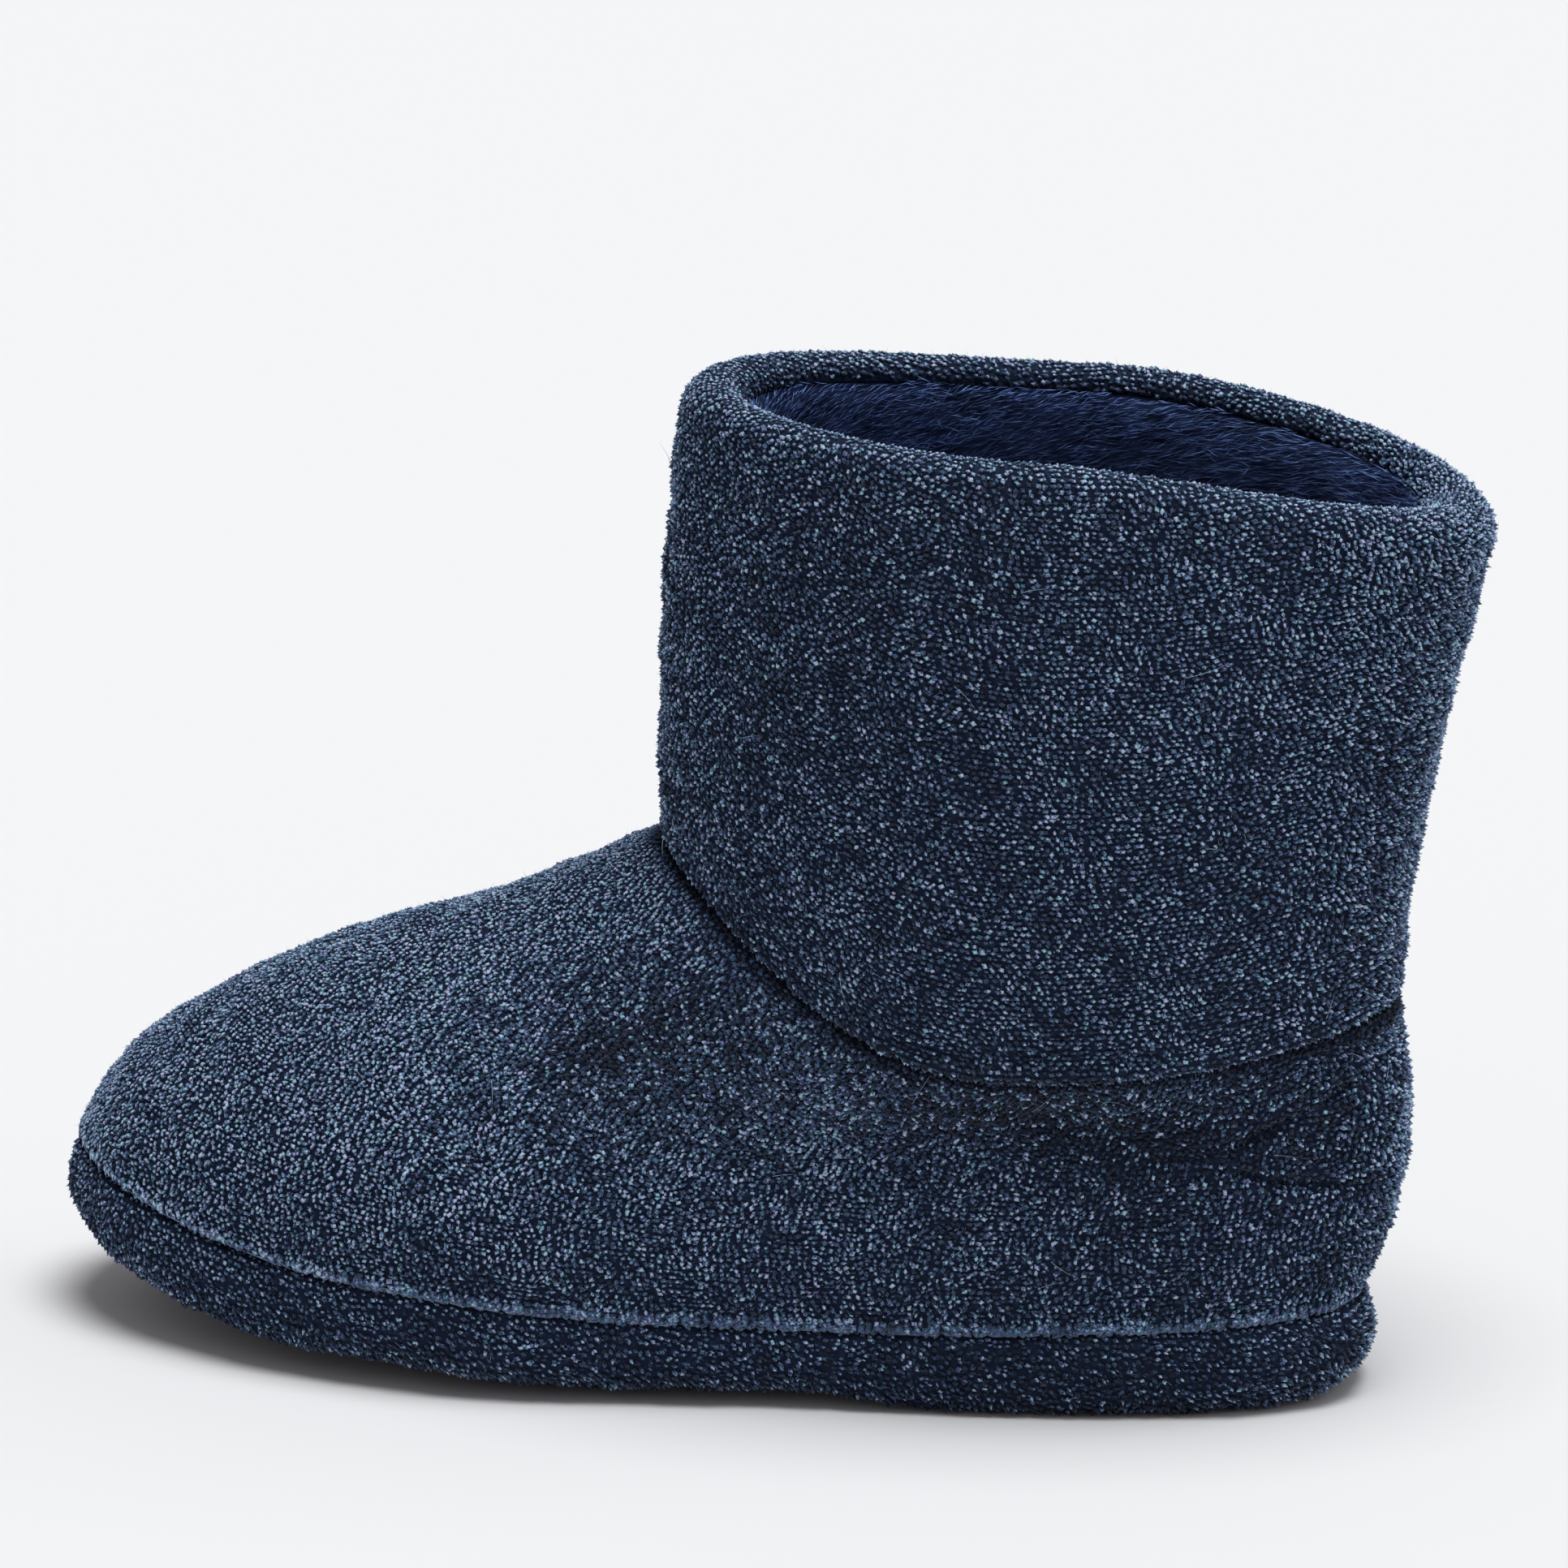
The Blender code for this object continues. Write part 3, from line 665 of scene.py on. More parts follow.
def knitted(grid, course, wale, random):
    """Where the stitches of a knit lie on a grid. Courses are lines at equal heights along the surface from
    its lowest ring, and stitches stand at equal lengths along each. Gives rows and columns of the grid."""
    run = climbed(grid)
    levels = np.arange(course * COURSE_MARGIN, run[-1].max(), course)
    rows = np.stack([np.interp(levels, run[:, k], np.arange(len(run))) for k in range(run.shape[1])], axis=1)
    there = levels[:, None] < run[-1][None, :] - course * COURSE_MARGIN
    columns = np.broadcast_to(np.arange(run.shape[1]), rows.shape)
    line = sampled(grid, rows, columns.astype(float))
    steps = np.linalg.norm(np.roll(line, -1, axis=1) - line, axis=-1)
    steps[~(there & np.roll(there, -1, axis=1))] = 0.0
    lengths = np.concatenate([np.zeros((len(levels), 1)), np.cumsum(steps, axis=1)], axis=1)
    found = []
    for k, length in enumerate(lengths):
        count = int(length[-1] / wale)
        if count < 1:
            continue
        at = (np.arange(count) + 0.5 * (k % 2) + 0.25) * wale
        at = (at + random.normal(0, 0.20 * wale, count)) % length[-1]
        column = np.interp(at, length, np.arange(len(length)))
        row = np.interp(column, np.arange(len(length)), np.append(rows[k], rows[k][0]))
        found.append(np.stack([row, column], axis=1))
    return np.concatenate(found).T


def grown(grid, at, lean, random, scatter):
    """Roots, normals and growing directions at places on a grid. lean is how far the pile lies over, as
    (around, up) per unit of height, and scatter how much it strays. Products of sines make it swirl."""
    around, up, out = directions(grid)
    row, column = at
    root = sampled(grid, row, column)
    normal = unit(sampled(out, row, column))
    sideways = unit(sampled(around, row, column))
    upwards = unit(sampled(up, row, column))
    count = len(root)
    x, y, z = root.T
    swirl = 0.5 * np.sin(x * 190 + 2 * np.sin(z * 160)) * np.sin(z * 210 + y * 120)
    over = lean[0] + swirl + random.normal(0, scatter, count)
    along = lean[1] + 0.8 * swirl + random.normal(0, scatter, count)
    growth = unit(normal + sideways * over[:, None] + upwards * along[:, None])
    return root, normal, growth


def cut_ends(root, normal, growth, height, reach, width, turn):
    """Ends of cut yarn: a point in the cloth, a ring of four just below half height, longer along the lean
    than across it and turned by an angle, and a tip. Gives points, faces and shares of the way up."""
    lean = unit(growth - normal * np.sum(growth * normal, axis=-1, keepdims=True) + 1e-9)
    across = np.cross(normal, lean)
    foot = root - normal * YARN_FOOT
    belly = root + normal * (height * BELLY)[:, None] + lean * (reach * 0.4)[:, None]
    corners = []
    for quarter in range(4):
        angle = turn + quarter * math.pi / 2
        along, aside = END_ALONG * width * np.cos(angle), END_ASIDE * width * np.sin(angle)
        corners.append(belly + (lean * along[:, None] + across * aside[:, None]))
    tip = root + normal * height[:, None] + lean * reach[:, None]
    points = np.stack([foot, *corners, tip], axis=1)
    points[..., 2] = np.maximum(points[..., 2], FLOOR_GAP)
    ring, onward = np.array([1, 2, 3, 4]), np.array([2, 3, 4, 1])
    one = np.concatenate([
        np.stack([ring, onward, np.full(4, 5)], axis=1),
        np.stack([onward, ring, np.full(4, 0)], axis=1),
    ])
    faces = (np.arange(len(root)) * 6)[:, None, None] + one[None]
    share = np.tile([0.0, BELLY, BELLY, BELLY, BELLY, 1.0], (len(root), 1))
    return points.reshape(-1, 3), faces.reshape(-1, 3), share.ravel()


def slivers(root, growth, length, width):
    """Loose fibres: three points round the root and one at the tip, closed by four faces."""
    side = unit(np.cross(growth, np.roll(growth, 1, axis=-1)) + 1e-6)
    broad = np.cross(growth, side)
    turn = np.array([0.0, 2.0, 4.0]) * math.pi / 3
    ring = side[:, None] * np.cos(turn)[:, None] + broad[:, None] * np.sin(turn)[:, None]
    base = root[:, None] + ring * (width / 2)[:, None, None]
    tip = root + growth * length[:, None]
    points = np.concatenate([base, tip[:, None]], axis=1)
    points[..., 2] = np.maximum(points[..., 2], FLOOR_GAP)
    one = np.array([[0, 1, 3], [1, 2, 3], [2, 0, 3], [2, 1, 0]])
    faces = (np.arange(len(root)) * 4)[:, None, None] + one[None]
    share = np.tile([0.0, 0.0, 0.0, 1.0], (len(root), 1))
    return points.reshape(-1, 3), faces.reshape(-1, 3), share.ravel()


def heather(count, random):
    """Shade of each stitch from 0, black navy, to 1, pale: most lie round the middle and a fifth are pale."""
    shade = 0.27 + 0.46 * random.beta(1.8, 2.3, count)
    return np.where(random.random(count) < 0.21, random.uniform(0.66, 1.0, count), shade)


def connect(tree, node, inputs):
    """Each named input of a node gets a link if its value is a socket, or else the value."""
    for key, value in inputs.items():
        if isinstance(value, NodeSocket):
            tree.links.new(value, node.inputs[key])
        else:
            node.inputs[key].default_value = value


def add(tree, kind, inputs=None, stops=(), **settings):
    """A node with its settings, its inputs and, on a colour ramp, its stops of (position, colour)."""
    node = tree.nodes.new(kind)
    for key, value in settings.items():
        setattr(node, key, value)
    connect(tree, node, inputs or {})
    if stops:
        elements = node.color_ramp.elements
        while len(elements) < len(stops):
            elements.new(0.5)
        for element, (position, colour) in zip(elements, stops):
            element.position = position
            element.color = (*colour, 1.0)
    return node


def cloth_shader(name, roughness, specular, sheen, sheen_colour):
    """A new cloth material. Gives it, its tree, its shader and object coordinates in metres."""
    material = bpy.data.materials.new(name)
    material.use_nodes = True
    tree = material.node_tree
    shader = tree.nodes["Principled BSDF"]
    connect(tree, shader, {
        "Roughness": roughness,
        "Specular IOR Level": specular,
        "Sheen Weight": sheen,
        "Sheen Roughness": 0.4,
        "Sheen Tint": (*linear(sheen_colour), 1.0),
    })
    return material, tree, shader, add(tree, "ShaderNodeTexCoord").outputs["Object"]


def mixed(first, second, share):
    """A colour that lies a share of the way from the first to the second."""
    return tuple(a + (b - a) * share for a, b in zip(first, second))


def heathered_plush(colours):
    """Polyester plush, knitted from a navy and a pale yarn and cut: matt pile, painted dark with shade
    between its tufts and pale at the tips, with a faint sheen where it is seen edge on."""
    material, tree, shader, place = cloth_shader("heathered_plush_knit", 0.8, 0.35, 0.6, "#a9bcd4")
    shade = add(tree, "ShaderNodeAttribute", attribute_name="shade").outputs["Fac"]
    tip = add(tree, "ShaderNodeAttribute", attribute_name="tip").outputs["Fac"]
    # single fibres in a cut end, half a millimetre apart, catch more or less light
    fibre = add(tree, "ShaderNodeTexNoise", {"Vector": place, "Scale": 1900.0, "Detail": 1.0}).outputs["Fac"]
    lift = add(
        tree,
        "ShaderNodeMapRange",
        {"Value": fibre, "From Min": 0.3, "From Max": 0.7, "To Min": 0.45, "To Max": 1.50},
    ).outputs["Result"]
    toned = add(tree, "ShaderNodeMath", {0: shade, 1: lift}, operation="MULTIPLY").outputs[0]
    # painted shade: each end darkens towards its root between the tufts and shows its yarn's shade at the cut
    # end
    height = add(
        tree,
        "ShaderNodeMapRange",
        {"Value": tip, "From Min": 0.2, "From Max": 0.85, "To Min": 0.3, "To Max": 1.0},
    ).outputs["Result"]
    lit = add(tree, "ShaderNodeMath", {0: toned, 1: height}, operation="MULTIPLY").outputs[0]
    stops = [(0.04, colours.gap), (0.24, colours.navy), (0.50, colours.steel), (0.84, colours.pale)]
    yarn = add(tree, "ShaderNodeValToRGB", {"Fac": lit}, stops).outputs["Color"]
    # the dye strays between teal and violet from stitch to stitch, 2 mm apart
    dye = add(tree, "ShaderNodeTexNoise", {"Vector": place, "Scale": 480.0, "Detail": 1.0}).outputs["Fac"]
    stops = [(0.35, linear("#d0f2f0")), (0.5, linear("#f0f4ff")), (0.65, linear("#f4e4fa"))]
    tint = add(tree, "ShaderNodeValToRGB", {"Fac": dye}, stops).outputs["Color"]
    final = add(
        tree, "ShaderNodeMix", {0: 1.0, 6: yarn, 7: tint}, data_type="RGBA", blend_type="MULTIPLY"
    ).outputs[2]
    # sheen follows the shade: hardly any on dark yarn and where painted shade lies
    edge_light = add(
        tree,
        "ShaderNodeMapRange",
        {"Value": shade, "From Min": 0.1, "From Max": 0.5, "To Min": 0.15, "To Max": 0.7},
    ).outputs["Result"]
    # cut ends of the yarn, a quarter of a millimetre wide
    ends = add(tree, "ShaderNodeTexNoise", {"Vector": place, "Scale": 3600.0, "Detail": 1.0}).outputs["Fac"]
    bump = add(tree, "ShaderNodeBump", {"Height": ends, "Strength": 0.5, "Distance": 0.0002})
    links = {"Base Color": final, "Sheen Weight": edge_light, "Normal": bump.outputs["Normal"]}
    connect(tree, shader, links)
    return material


def knit_ground(colours):
    """The knit that the pile grows from: dark stitches, 1.6 mm wide, hardly seen between the cut ends."""
    material, tree, shader, place = cloth_shader("navy_knit_ground", 1.0, 0.1, 0.0, "#a8bcd6")
    stitch = add(
        tree, "ShaderNodeTexVoronoi", {"Vector": place, "Scale": 620.0, "Randomness": 0.8}, feature="F1"
    ).outputs["Distance"]
    stops = [(0.0, mixed(colours.navy, colours.steel, 0.12)), (0.5, mixed(colours.gap, colours.navy, 0.6))]
    colour = add(tree, "ShaderNodeValToRGB", {"Fac": stitch}, stops).outputs["Color"]
    bump = add(tree, "ShaderNodeBump", {"Height": stitch, "Strength": 0.8, "Distance": 0.0006}, invert=True)
    connect(tree, shader, {"Base Color": colour, "Normal": bump.outputs["Normal"]})
    return material


def navy_fleece(colours):
    """Short-pile fleece lining: soft brushed fibres in clumps, nearly black at the roots and clear blue where
    light gets between them."""
    material, tree, shader, place = cloth_shader("navy_pile_fleece", 0.8, 0.2, 0.15, "#6c94e0")
    tip = add(tree, "ShaderNodeAttribute", attribute_name="tip").outputs["Fac"]
    shade = add(tree, "ShaderNodeAttribute", attribute_name="shade").outputs["Fac"]
    # clumps of pile, 2.5 mm high and 9 mm long, that lie along the wall
    lain = add(tree, "ShaderNodeMapping", {"Vector": place, "Scale": (0.45, 0.45, 1.6)}).outputs["Vector"]
    clump = add(tree, "ShaderNodeTexNoise", {"Vector": lain, "Scale": 250.0, "Detail": 3.0}).outputs["Fac"]
    depth = add(tree, "ShaderNodeMath", {0: tip, 1: shade}, operation="MULTIPLY").outputs[0]
    lit = add(tree, "ShaderNodeMath", {0: depth, 1: clump}, operation="ADD").outputs[0]
    between = mixed(colours.fleece_dark, colours.fleece_blue, 0.35)
    stops = [(0.30, colours.fleece_dark), (0.75, between), (1.0, colours.fleece_blue)]
    colour = add(tree, "ShaderNodeValToRGB", {"Fac": lit}, stops).outputs["Color"]
    bump = add(tree, "ShaderNodeBump", {"Height": clump, "Strength": 0.8, "Distance": 0.0015})
    connect(tree, shader, {"Base Color": colour, "Normal": bump.outputs["Normal"]})
    return material


def sole_cloth(colours):
    """Plain woven polyester under the sole with small raised grip dots, 1.6 mm wide and 5 mm apart."""
    material, tree, shader, place = cloth_shader("woven_sole_cloth", 0.85, 0.3, 0.1, "#9aa4b8")
    # threads of the weave, 0.9 mm long and 0.3 mm wide
    weave = add(
        tree, "ShaderNodeTexBrick", {"Vector": place, "Scale": 900.0, "Mortar Size": 0.05, "Brick Width": 0.8}
    ).outputs["Fac"]
    dots = add(
        tree,
        "ShaderNodeTexVoronoi",
        {"Vector": place, "Scale": 200.0, "Randomness": 0.0},
        voronoi_dimensions="2D",
    ).outputs["Distance"]
    raised = add(
        tree,
        "ShaderNodeMapRange",
        {"Value": dots, "From Min": 0.12, "From Max": 0.2, "To Min": 1.0, "To Max": 0.0},
        interpolation_type="SMOOTHSTEP",
    ).outputs["Result"]
    stops = [(0.0, colours.sole), (1.0, mixed(colours.sole, (0.0, 0.0, 0.0), 0.5))]
    colour = add(tree, "ShaderNodeValToRGB", {"Fac": raised}, stops).outputs["Color"]
    fine = add(tree, "ShaderNodeBump", {"Height": weave, "Strength": 0.4, "Distance": 0.0002})
    bump = add(
        tree,
        "ShaderNodeBump",
        {"Height": raised, "Strength": 0.8, "Distance": 0.0006, "Normal": fine.outputs["Normal"]},
    )
    connect(tree, shader, {"Base Color": colour, "Normal": bump.outputs["Normal"]})
    return material


def studio_paper(colours):
    """Matt white background paper, smooth to the eye."""
    material = bpy.data.materials.new("studio_paper")
    material.use_nodes = True
    shader = material.node_tree.nodes["Principled BSDF"]
    matt = {"Base Color": (*colours.floor, 1.0), "Roughness": 0.95, "Specular IOR Level": 0.1}
    connect(material.node_tree, shader, matt)
    return material


MADE = {}


def finish_of(maker):
    """The scene's material from one of the makers above, made once."""
    made = MADE.get(maker.__name__)
    if made is None:
        made = MADE[maker.__name__] = maker(bpy.context.scene.slipper_colours)
    return made


def settle(piece, slot, *nodes):
    """The piece rides on the slipper's one body and stands for the nodes, which it hides. slot is not used.
    """
    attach(piece, "root")
    if nodes:
        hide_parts(*nodes)


def clouds(points, size):
    """Soft unevenness from -1 to 1 in clouds of a size: products of sines that wander."""
    x, y, z = np.moveaxis(points * (2 * math.pi / size), -1, 0)
    first = np.sin(x + 1.7 * np.sin(0.8 * z)) * np.sin(0.9 * z + 0.6 * y)
    second = np.sin(1.7 * x - 1.1 * z) * np.sin(1.3 * y + 2.1 * z)
    return 0.65 * first + 0.35 * second


def covering(
    name, grid, sizes, random, lean, low_edge_shade, high_edge_shade, keep=None, tone=1.0, smooth_edge=0.0, fur=0.0
):
    """One piece of pile: on every stitch of a grid's cloth a full end of yarn and, beside half of them, a
    thinner one. low_edge_shade and high_edge_shade paint shade along the lower and upper edge: (share of
    the shade kept at that edge, distance that it fades over). smooth_edge is how far the pile is pressed
    flat along the lower edge, which evens its shade, and fur how much longer, thinner and less even it is
    than the knit's."""
    at = knitted(grid, sizes.course, sizes.wale, random)
    if keep is not None:
        at = at[:, keep(sampled(grid, *at))]
    count = at.shape[1]
    root, normal, growth = grown(grid, at, lean, random, 0.3 + 0.4 * fur)
    around = unit(sampled(directions(grid)[0], *at))
    up = np.cross(normal, around)
    root = root + up * random.normal(0, (0.13 + 0.4 * fur) * sizes.course, count)[:, None]
    climb = climbed(grid)
    run = sampled(climb[..., None], *at)[:, 0]
    left = sampled(np.broadcast_to(climb[-1], climb.shape)[..., None], *at)[:, 0] - run
    pinch = pinched(root)
    flat = smooth_edge * np.exp(-((run / PRESSED_SPAN) ** 4))
    open_pile = np.clip(left / CLOSED_SPAN, 0.6, 1.0) * (1 - 0.4 * pinch) * (1 - 0.8 * flat)
    # the pile stands up unevenly, and two fifths higher round the back of the heel
    ragged = 1 + 0.3 * clouds(root, 0.011) + 0.4 / (1 + np.exp((root[:, 0] + 0.034) * 600))
    height = sizes.pile_height * (1 + 0.3 * fur) * open_pile * ragged * random.uniform(0.6, 1.3, count)
    height = height * (1 - 0.35 * np.clip(normal[:, 2], 0.0, 1.0))
    reach = sizes.pile_reach * (1 + 1.5 * fur) * random.uniform(0.3, 2.0, count)
    width = sizes.pile_width * (1 - 0.25 * fur) * (1 + 1.1 * flat) * random.uniform(0.75, 1.25, count)
    # painted shade along the seams: the shade falls to the kept share at the lower and upper edge
    edge = 1.0
    for (kept, span), away in ((low_edge_shade, run), (high_edge_shade, left)):
        edge = edge * (1 - (1 - kept) * np.exp(-((away / span) ** 2)))
    # painted light and shade: the pile is lighter where it faces up and darker where it faces down, and
    # clouds add random mottle
    top_light_and_mottle = 1 + 0.22 * np.clip(normal[:, 2], -0.6, 1.0) + 1.25 * np.clip(normal[:, 2] - 0.35, 0.0, 0.5)
    top_light_and_mottle += 0.20 * clouds(root, 0.034) + 0.15 * clouds(root, 0.013)
    shade = heather(count, random)
    shade = shade + (0.52 - shade) * 0.9 * flat
    # where painted shade falls the middle yarn darkens more than the pale one, and where painted light falls
    # it lightens
    shade = shade ** np.clip(1 + 1.6 * (1 - top_light_and_mottle * patch_light_and_shade(root)), 0.5, 3.0)
    # painted shade along the seams (edge) and in the bottom of sharp creases (pinch)
    shade = 1.08 * tone * shade * edge * (1 - 0.8 * pinch)
    turn = random.uniform(-0.6, 0.6, count)
    points, faces, share = cut_ends(root, normal, growth, height, reach, width, turn)
    beside = root + around * (0.5 * sizes.wale + random.normal(0, 0.00018, count))[:, None]
    beside = beside + up * random.normal(0, 0.0003, count)[:, None] - normal * 0.0003
    stray = unit(growth + around * random.normal(0, 0.35, count)[:, None])
    some = random.random(count) < 0.5
    length = height * (0.9 + 0.5 * fur) + 0.0003
    thin, thin_faces, thin_share = slivers(beside[some], stray[some], length[some], 0.8 * width[some])
    thin_shade = (shade * random.uniform(0.5, 1.05, count))[some]
    values = {
        "shade": np.concatenate([np.repeat(shade, 6), np.repeat(thin_shade, 4)]),
        "tip": np.concatenate([share, thin_share]),
    }
    points, faces = np.concatenate([points, thin]), np.concatenate([faces, thin_faces + len(points)])
    settle(new_mesh(name, points, faces, (heathered_plush,), values), "plush_knit")


def fuzz(name, grid, sizes, random):
    """Loose fibres that stand out of the pile, thin enough to soften its edge."""
    at = knitted(grid, sizes.course * FIBRES_APART, sizes.wale * FIBRES_APART, random)
    root, normal, growth = grown(grid, at, (0.0, -0.2), random, 0.8)
    count = len(root)
    length = sizes.fibre_length * random.uniform(0.6, 1.5, count)
    width = sizes.fibre_width * random.uniform(0.7, 1.3, count)
    points, faces, share = slivers(root + normal * sizes.pile_height * 0.3, growth, length, width)
    shade = np.repeat(np.clip(random.normal(0.6, 0.2, count), 0.1, 1.0), 4)
    values = {"shade": shade, "tip": 0.6 + 0.4 * share}
    settle(new_mesh(name, points, faces, (heathered_plush,), values), "plush_knit")


def hairs(starts, growth, length, bend, width, steps=7):
    """Loose hairs: three-sided tubes that follow an arc. Point t of the way along lies at the start plus the
    length times t along the growth and t squared along the bend. Both ends are closed."""
    share = np.linspace(0, 1, steps)[None, :, None]
    middle = starts[:, None] + length[:, None, None] * (growth[:, None] * share + bend[:, None] * share**2)
    side = unit(np.cross(growth, bend) + 1e-6)[:, None]
    broad = unit(np.cross(np.broadcast_to(growth[:, None], middle.shape), side))
    rings = []
    for turn in (0.0, 2 * math.pi / 3, 4 * math.pi / 3):
        radius = width / 2 * (1 - 0.7 * share)
        rings.append(middle + (side * math.cos(turn) + broad * math.sin(turn)) * radius)
    points = np.stack(rings, axis=2)
    one = []
    for k in range(steps - 1):
        for i in range(3):
            a, b = 3 * k + i, 3 * k + (i + 1) % 3
            one += [(a, b, b + 3), (a, b + 3, a + 3)]
    last = 3 * (steps - 1)
    one += [(2, 1, 0), (last, last + 1, last + 2)]
    faces = (np.arange(len(starts)) * 3 * steps)[:, None, None] + np.array(one)[None]
    return points.reshape(-1, 3), faces.reshape(-1, 3)


def plate(edge, height, crown=0.0):
    """A sheet inside an edge: rings that draw in to the middle line, at a height that is a function of X,
    plus a crown times one minus the square of the way out. Gives its rings from the edge inwards."""
    mirrored = edge[-np.arange(AROUND) % AROUND]
    folded = (edge[:, 0] + mirrored[:, 0]) / 2
    middle = (folded.max() + folded.min()) / 2
    reach = np.ptp(folded) / 2
    depth = np.ptp(edge[:, 1]) / 2
    spine = middle + (folded - middle) * (1 - depth / reach)
    line = middle_line(spine)
    share = np.linspace(1.0, 0.0, 18)[1:, None]
    x = spine + (edge[:, 0] - spine) * share
    y = line + (edge[:, 1] - line) * share
    return np.stack([x, y, height(x) + crown * (1 - share**2)], axis=-1)


def scattered(context, number):
    """The sizes, and the random numbers of the piece with a number of its own."""
    sizes = context.scene.slipper_pile
    return sizes, np.random.default_rng(sizes.seed + number)


class SLIPPER_OT_outsole(Operator):
    """Padded sole: underside cloth with its lip under the band"""

    bl_idname = "slipper.outsole"
    bl_label = "Outsole"

    def execute(self, context):
        rings = lofted([sole_ring(section) for section in SOLE_SECTIONS], 0, 61)
        lip = rings[:LIP_RINGS]
        normal = directions(rings)[2]
        inner = rings[LIP_RINGS:] - normal[LIP_RINGS:] * (BAND_WALL + SEAM_GAP)
        inner[-1, :, 2] = sole_top(inner[-1, :, 0])
        under, over = plate(lip[0], underside), plate(inner[-1], sole_top)
        piece = pad("outsole_cloth", np.concatenate([under[::-1], lip, inner, over]), sole_cloth)
        settle(piece, "sole_cloth", "outsole")
        return {"FINISHED"}


class SLIPPER_OT_band(Operator):
    """Knitted strip round the sole's side, with its pile"""

    bl_idname = "slipper.band"
    bl_label = "Sole band"

    def execute(self, context):
        sizes, random = scattered(context, 0)
        smooth, outer = band_forms(sizes)
        inner = smooth - directions(smooth)[2] * BAND_WALL
        piece = shell("sole_band_cloth", outer[:, ::3], inner[::3, ::3], knit_ground)
        settle(piece, "plush_knit", "sole_band")
        # painted shade along the band's lower edge and under the sole seam
        low_edge_shade, high_edge_shade = (0.45, 0.0026), (0.3, 0.0012)
        covering("sole_band_pile", outer, sizes, random, (1.1, -0.5), low_edge_shade, high_edge_shade, tone=0.88, fur=0.4)
        return {"FINISHED"}


class SLIPPER_OT_insole(Operator):
    """Insole with its fleece cover"""

    bl_idname = "slipper.insole"
    bl_label = "Insole"

    def execute(self, context):
        smooth = foot_forms(context.scene.slipper_pile)[0]
        out = directions(smooth)[2]
        out[0] = level(out[0])
        wall = smooth - out * (UPPER_WALL + SEAM_GAP)
        above = wall[..., 2] - sole_top(wall[..., 0])
        edges = []
        for height in (SEAM_GAP, SEAM_GAP + INSOLE_THICKNESS):
            row = (above < height).sum(axis=0).astype(float)
            edge = sampled(wall, np.clip(row, 0, len(wall) - 2), np.arange(AROUND, dtype=float))
            edge[:, 2] = sole_top(edge[:, 0]) + height
            edges.append(edge)
        under = plate(edges[0], lambda x: sole_top(x) + SEAM_GAP)
        over = plate(edges[1], lambda x: sole_top(x) + SEAM_GAP + INSOLE_THICKNESS, INSOLE_CROWN)
        piece = pad("insole_pad", np.concatenate([under[::-1], edges, over]), navy_fleece)
        settle(piece, "fleece", "insole")
        return {"FINISHED"}


class SLIPPER_OT_upper(Operator):
    """Foot upper: knit outside, fleece inside, with its pile"""

    bl_idname = "slipper.upper"
    bl_label = "Foot upper"

    def execute(self, context):
        sizes, random = scattered(context, 1)
        smooth, dressed = foot_forms(sizes)
        normal = directions(smooth)[2]
        normal[0] = level(normal[0])
        inner = coarser(smooth - normal * UPPER_WALL, 26)
        # the seam allowance stands up behind the shaft's edge and closes the seam
        allowance = ankle_ring() - level(normal[-1]) * ALLOWANCE_IN + UPWARDS * ALLOWANCE_UP
        outer = np.concatenate([coarser(dressed, 76), allowance[None, ::3]])
        piece = shell("upper_cloth", outer, inner, navy_fleece)
        settle(piece, "plush_knit", "upper")
        # painted shade: a dark line under the ankle seam and none at the sole seam
        lean, low_edge_shade, high_edge_shade = (0.25, -0.30), (1.0, 0.001), (0.03, 0.0038)
        for name, side in (("upper_pile_outer_side", 1), ("upper_pile_inner_side", -1)):
            covering(
                name, dressed, sizes, random, lean, low_edge_shade, high_edge_shade,
                keep=lambda p: side * (p[:, 1] - middle_line(p[:, 0])) >= 0, smooth_edge=1.0,
            )
        fuzz("upper_fibres", dressed, sizes, random)
        return {"FINISHED"}


class SLIPPER_OT_shaft(Operator):
    """Shaft with its rolled collar and facing: knit outside, fleece inside, with its pile"""

    bl_idname = "slipper.shaft"
    bl_label = "Shaft and collar"

    def execute(self, context):
        sizes, random = scattered(context, 2)
        dressed = shaft_forms(sizes)[1]
        collar = collar_form(sizes)
        inner = coarser(lining_form(sizes), 34)
        outer = np.concatenate([dressed[:-1:2], collar[len(dressed) - 1 :]])[:, ::3]
        piece = shell("shaft_cloth", outer, inner, navy_fleece)
        settle(piece, "plush_knit", "shaft")
        # painted shade along the ankle seam and at the facing's lower edge inside the collar
        lean, low_edge_shade, high_edge_shade = (0.75, -0.2), (0.5, 0.0009), (0.7, 0.0026)
        for name, side in (("shaft_pile_outer_side", 1), ("shaft_pile_inner_side", -1)):
            covering(
                name, collar, sizes, random, lean, low_edge_shade, high_edge_shade,
                keep=lambda p: side * p[:, 1] >= 0,
            )
        fuzz("shaft_fibres", collar, sizes, random)
        return {"FINISHED"}


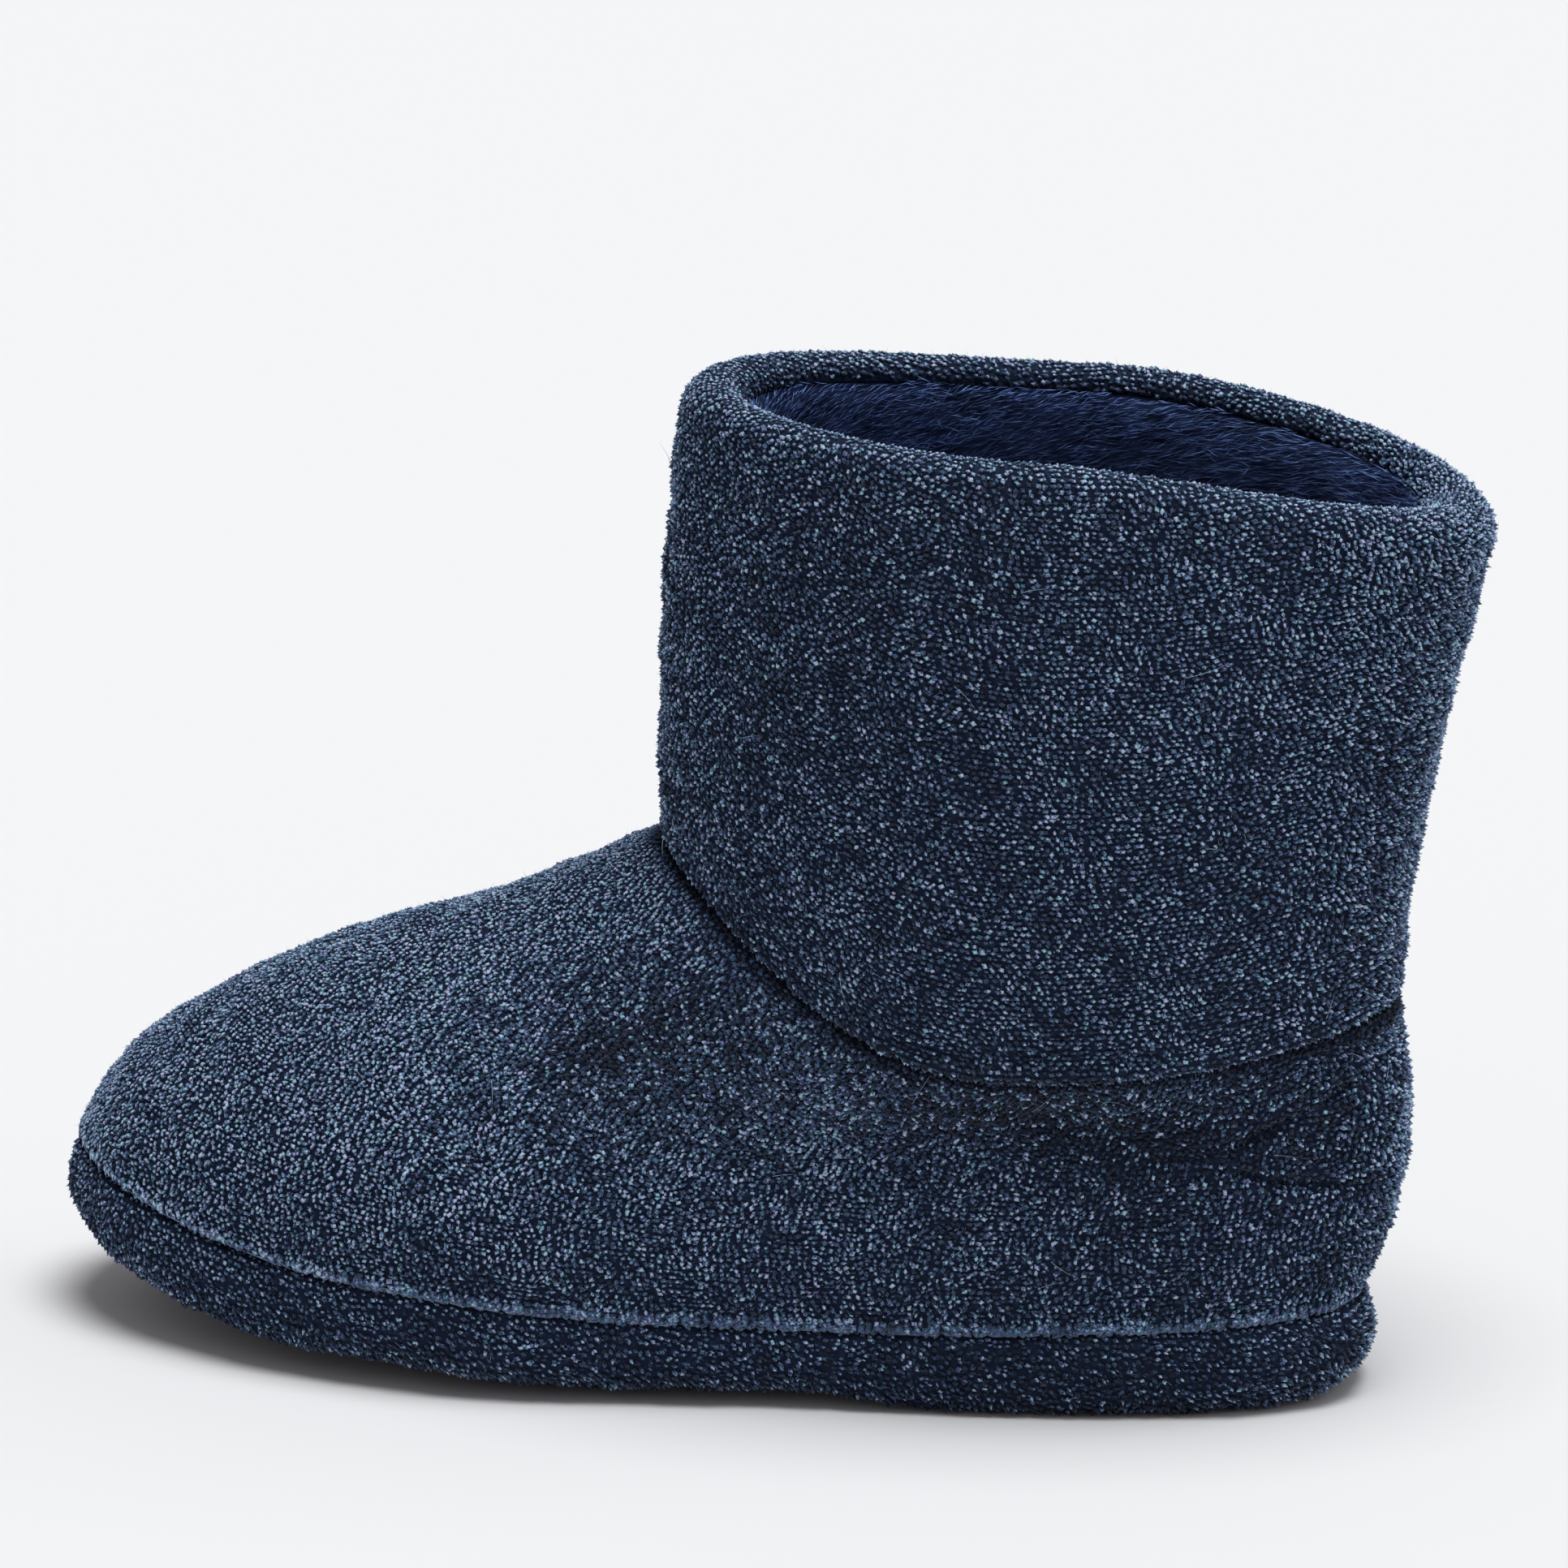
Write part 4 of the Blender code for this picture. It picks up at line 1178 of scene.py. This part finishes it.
class SLIPPER_OT_lining(Operator):
    """Short pile of the lining inside the shaft and the upper"""

    bl_idname = "slipper.lining"
    bl_label = "Lining pile"

    def execute(self, context):
        sizes, random = scattered(context, 3)
        foot = foot_forms(sizes)[0]
        shaft = lining_form(sizes)
        seen = 2 * len(shaft) // 3
        walls = (
            ("shaft_lining_pile", shaft[seen:], 0.9),
            ("lower_lining_pile", shaft[: seen + 1], 2.1),
            ("upper_lining_pile", (foot - directions(foot)[2] * UPPER_WALL)[LINED_FROM:], 3.0),
        )
        for name, wall, apart in walls:
            flipped = wall[:, ::-1]
            spacing = sizes.lining_spacing * apart
            at = knitted(flipped, spacing, spacing, random)
            root, _, growth = grown(flipped, at, (-1.8, -0.25), random, 0.45)
            count = len(root)
            length = sizes.lining_length * random.uniform(0.5, 1.2, count)
            # light reaches the pile under the facing and dies away further down
            depth = wall[-1, :, 2].max() - root[:, 2]
            lit = (0.5 + 2.0 * np.exp(-((depth / LIGHT_DEPTH) ** 2))) * (1 + 0.8 * clouds(root, 0.017))
            width = 0.00028 * apart**0.5 * random.uniform(0.5, 1.5, count)
            points, faces, share = slivers(root, growth, length, width)
            shade = np.repeat(random.uniform(0.2, 1.0, count) * np.clip(lit, 0.1, 2.0), 4)
            values = {"shade": shade, "tip": share}
            settle(new_mesh(name, points, faces, (navy_fleece,), values), "fleece")
        return {"FINISHED"}


class SLIPPER_OT_lint(Operator):
    """A few pale hairs that cling to the pile"""

    bl_idname = "slipper.lint"
    bl_label = "Lint"

    def execute(self, context):
        sizes, random = scattered(context, 4)
        starts, growth = [], []
        for grid, count in ((foot_forms(sizes)[1], 46), (collar_form(sizes), 40)):
            at = np.stack([random.uniform(6, len(grid) - 8, count), random.uniform(0, AROUND, count)])
            root, normal, _ = grown(grid, at, (0.0, 0.0), random, 0.0)
            around = sampled(directions(grid)[0], *at)
            along = unit(around + normal * random.uniform(-0.1, 0.35, count)[:, None])
            turn = random.uniform(-1.2, 1.2, count)[:, None]
            across = np.cross(normal, along)
            starts.append(root + normal * sizes.pile_height * 1.05)
            growth.append(unit(along * np.cos(turn) + across * np.sin(turn) + normal * 0.12))
        starts, growth = np.concatenate(starts), np.concatenate(growth)
        count = len(starts)
        bend = np.cross(growth, random.normal(0, 1, (count, 3))) * 0.25
        length = random.uniform(0.003, 0.009, count)
        points, faces = hairs(starts, growth, length, bend, HAIR_WIDTH)
        pale = np.full(len(points), 0.9)
        piece = new_mesh("lint", points, faces, (heathered_plush,), {"shade": pale, "tip": pale})
        settle(piece, "plush_knit")
        return {"FINISHED"}


class SLIPPER_OT_stage(Operator):
    """Studio floor, soft light and camera"""

    bl_idname = "slipper.stage"
    bl_label = "Studio"

    def execute(self, context):
        scene = context.scene
        corners = np.array([[-1, -1, 0], [1, -1, 0], [1, 1, 0], [-1, 1, 0]]) * FLOOR_HALF
        new_mesh("studio_floor", corners, np.array([[0, 1, 2, 3]]), (studio_paper,))

        world = bpy.data.worlds.new("studio_light")
        scene.world = world
        world.use_nodes = True
        back = world.node_tree.nodes["Background"]
        connect(world.node_tree, back, {"Color": ROOM_LIGHT, "Strength": ROOM_STRENGTH})

        # a broad lamp overhead, leaning to the heel and the camera, and a weak one low behind the heel
        for name, energy, angle, toward in (
            ("overhead_softbox", 2.50, 34.0, (-0.16, 0.10, 1.0)),
            ("heel_side_softbox", 0.40, 50.0, (-1.0, -0.2, 0.5)),
        ):
            light = bpy.data.lights.new(name, "SUN")
            light.energy = energy
            light.angle = math.radians(angle)
            light.color = LAMP_LIGHT
            lamp = bpy.data.objects.new(name, light)
            lamp.rotation_euler = (-Vector(toward)).to_track_quat("-Z", "Y").to_euler()
            scene.collection.objects.link(lamp)

        camera = bpy.data.cameras.new("camera")
        camera.sensor_width = 36.0
        camera.lens = CAMERA_LENS
        camera.clip_end = 60.0
        eye = bpy.data.objects.new("camera", camera)
        flat = math.cos(CAMERA_RISE)
        away = Vector((-math.sin(CAMERA_YAW) * flat, math.cos(CAMERA_YAW) * flat, math.sin(CAMERA_RISE)))
        eye.location = Vector(CAMERA_AIM) + away * CAMERA_REACH
        eye.rotation_euler = (-away).to_track_quat("-Z", "Y").to_euler()
        scene.collection.objects.link(eye)
        scene.camera = eye
        scene.view_settings.view_transform = "Standard"
        scene.view_settings.look = "None"
        return {"FINISHED"}


STEPS = (
    SLIPPER_OT_outsole,
    SLIPPER_OT_band,
    SLIPPER_OT_insole,
    SLIPPER_OT_upper,
    SLIPPER_OT_shaft,
    SLIPPER_OT_lining,
    SLIPPER_OT_lint,
    SLIPPER_OT_stage,
)


class SLIPPER_PT_sidebar(Panel):
    """Buttons that build the slipper's pieces, with their sizes and colours"""

    bl_label = "Bootie slipper"
    bl_idname = "SLIPPER_PT_sidebar"
    bl_space_type = "VIEW_3D"
    bl_region_type = "UI"
    bl_category = "Slipper"

    def draw(self, context):
        for step in STEPS:
            self.layout.operator(step.bl_idname)
        for group in (context.scene.slipper_pile, context.scene.slipper_colours):
            box = self.layout.box()
            for key in group.bl_rna.properties.keys():
                if key not in ("rna_type", "name"):
                    box.prop(group, key)


CLASSES = (SlipperPile, SlipperColours, *STEPS, SLIPPER_PT_sidebar)


def register():
    for kind in CLASSES:
        bpy.utils.register_class(kind)
    bpy.types.Scene.slipper_pile = PointerProperty(type=SlipperPile)
    bpy.types.Scene.slipper_colours = PointerProperty(type=SlipperColours)


def unregister():
    del bpy.types.Scene.slipper_colours
    del bpy.types.Scene.slipper_pile
    for kind in reversed(CLASSES):
        bpy.utils.unregister_class(kind)


def main():
    register()
    bpy.ops.slipper.outsole()
    bpy.ops.slipper.band()
    bpy.ops.slipper.insole()
    bpy.ops.slipper.upper()
    bpy.ops.slipper.shaft()
    bpy.ops.slipper.lining()
    bpy.ops.slipper.lint()
    bpy.ops.slipper.stage()


if __name__ == "__main__":
    main()
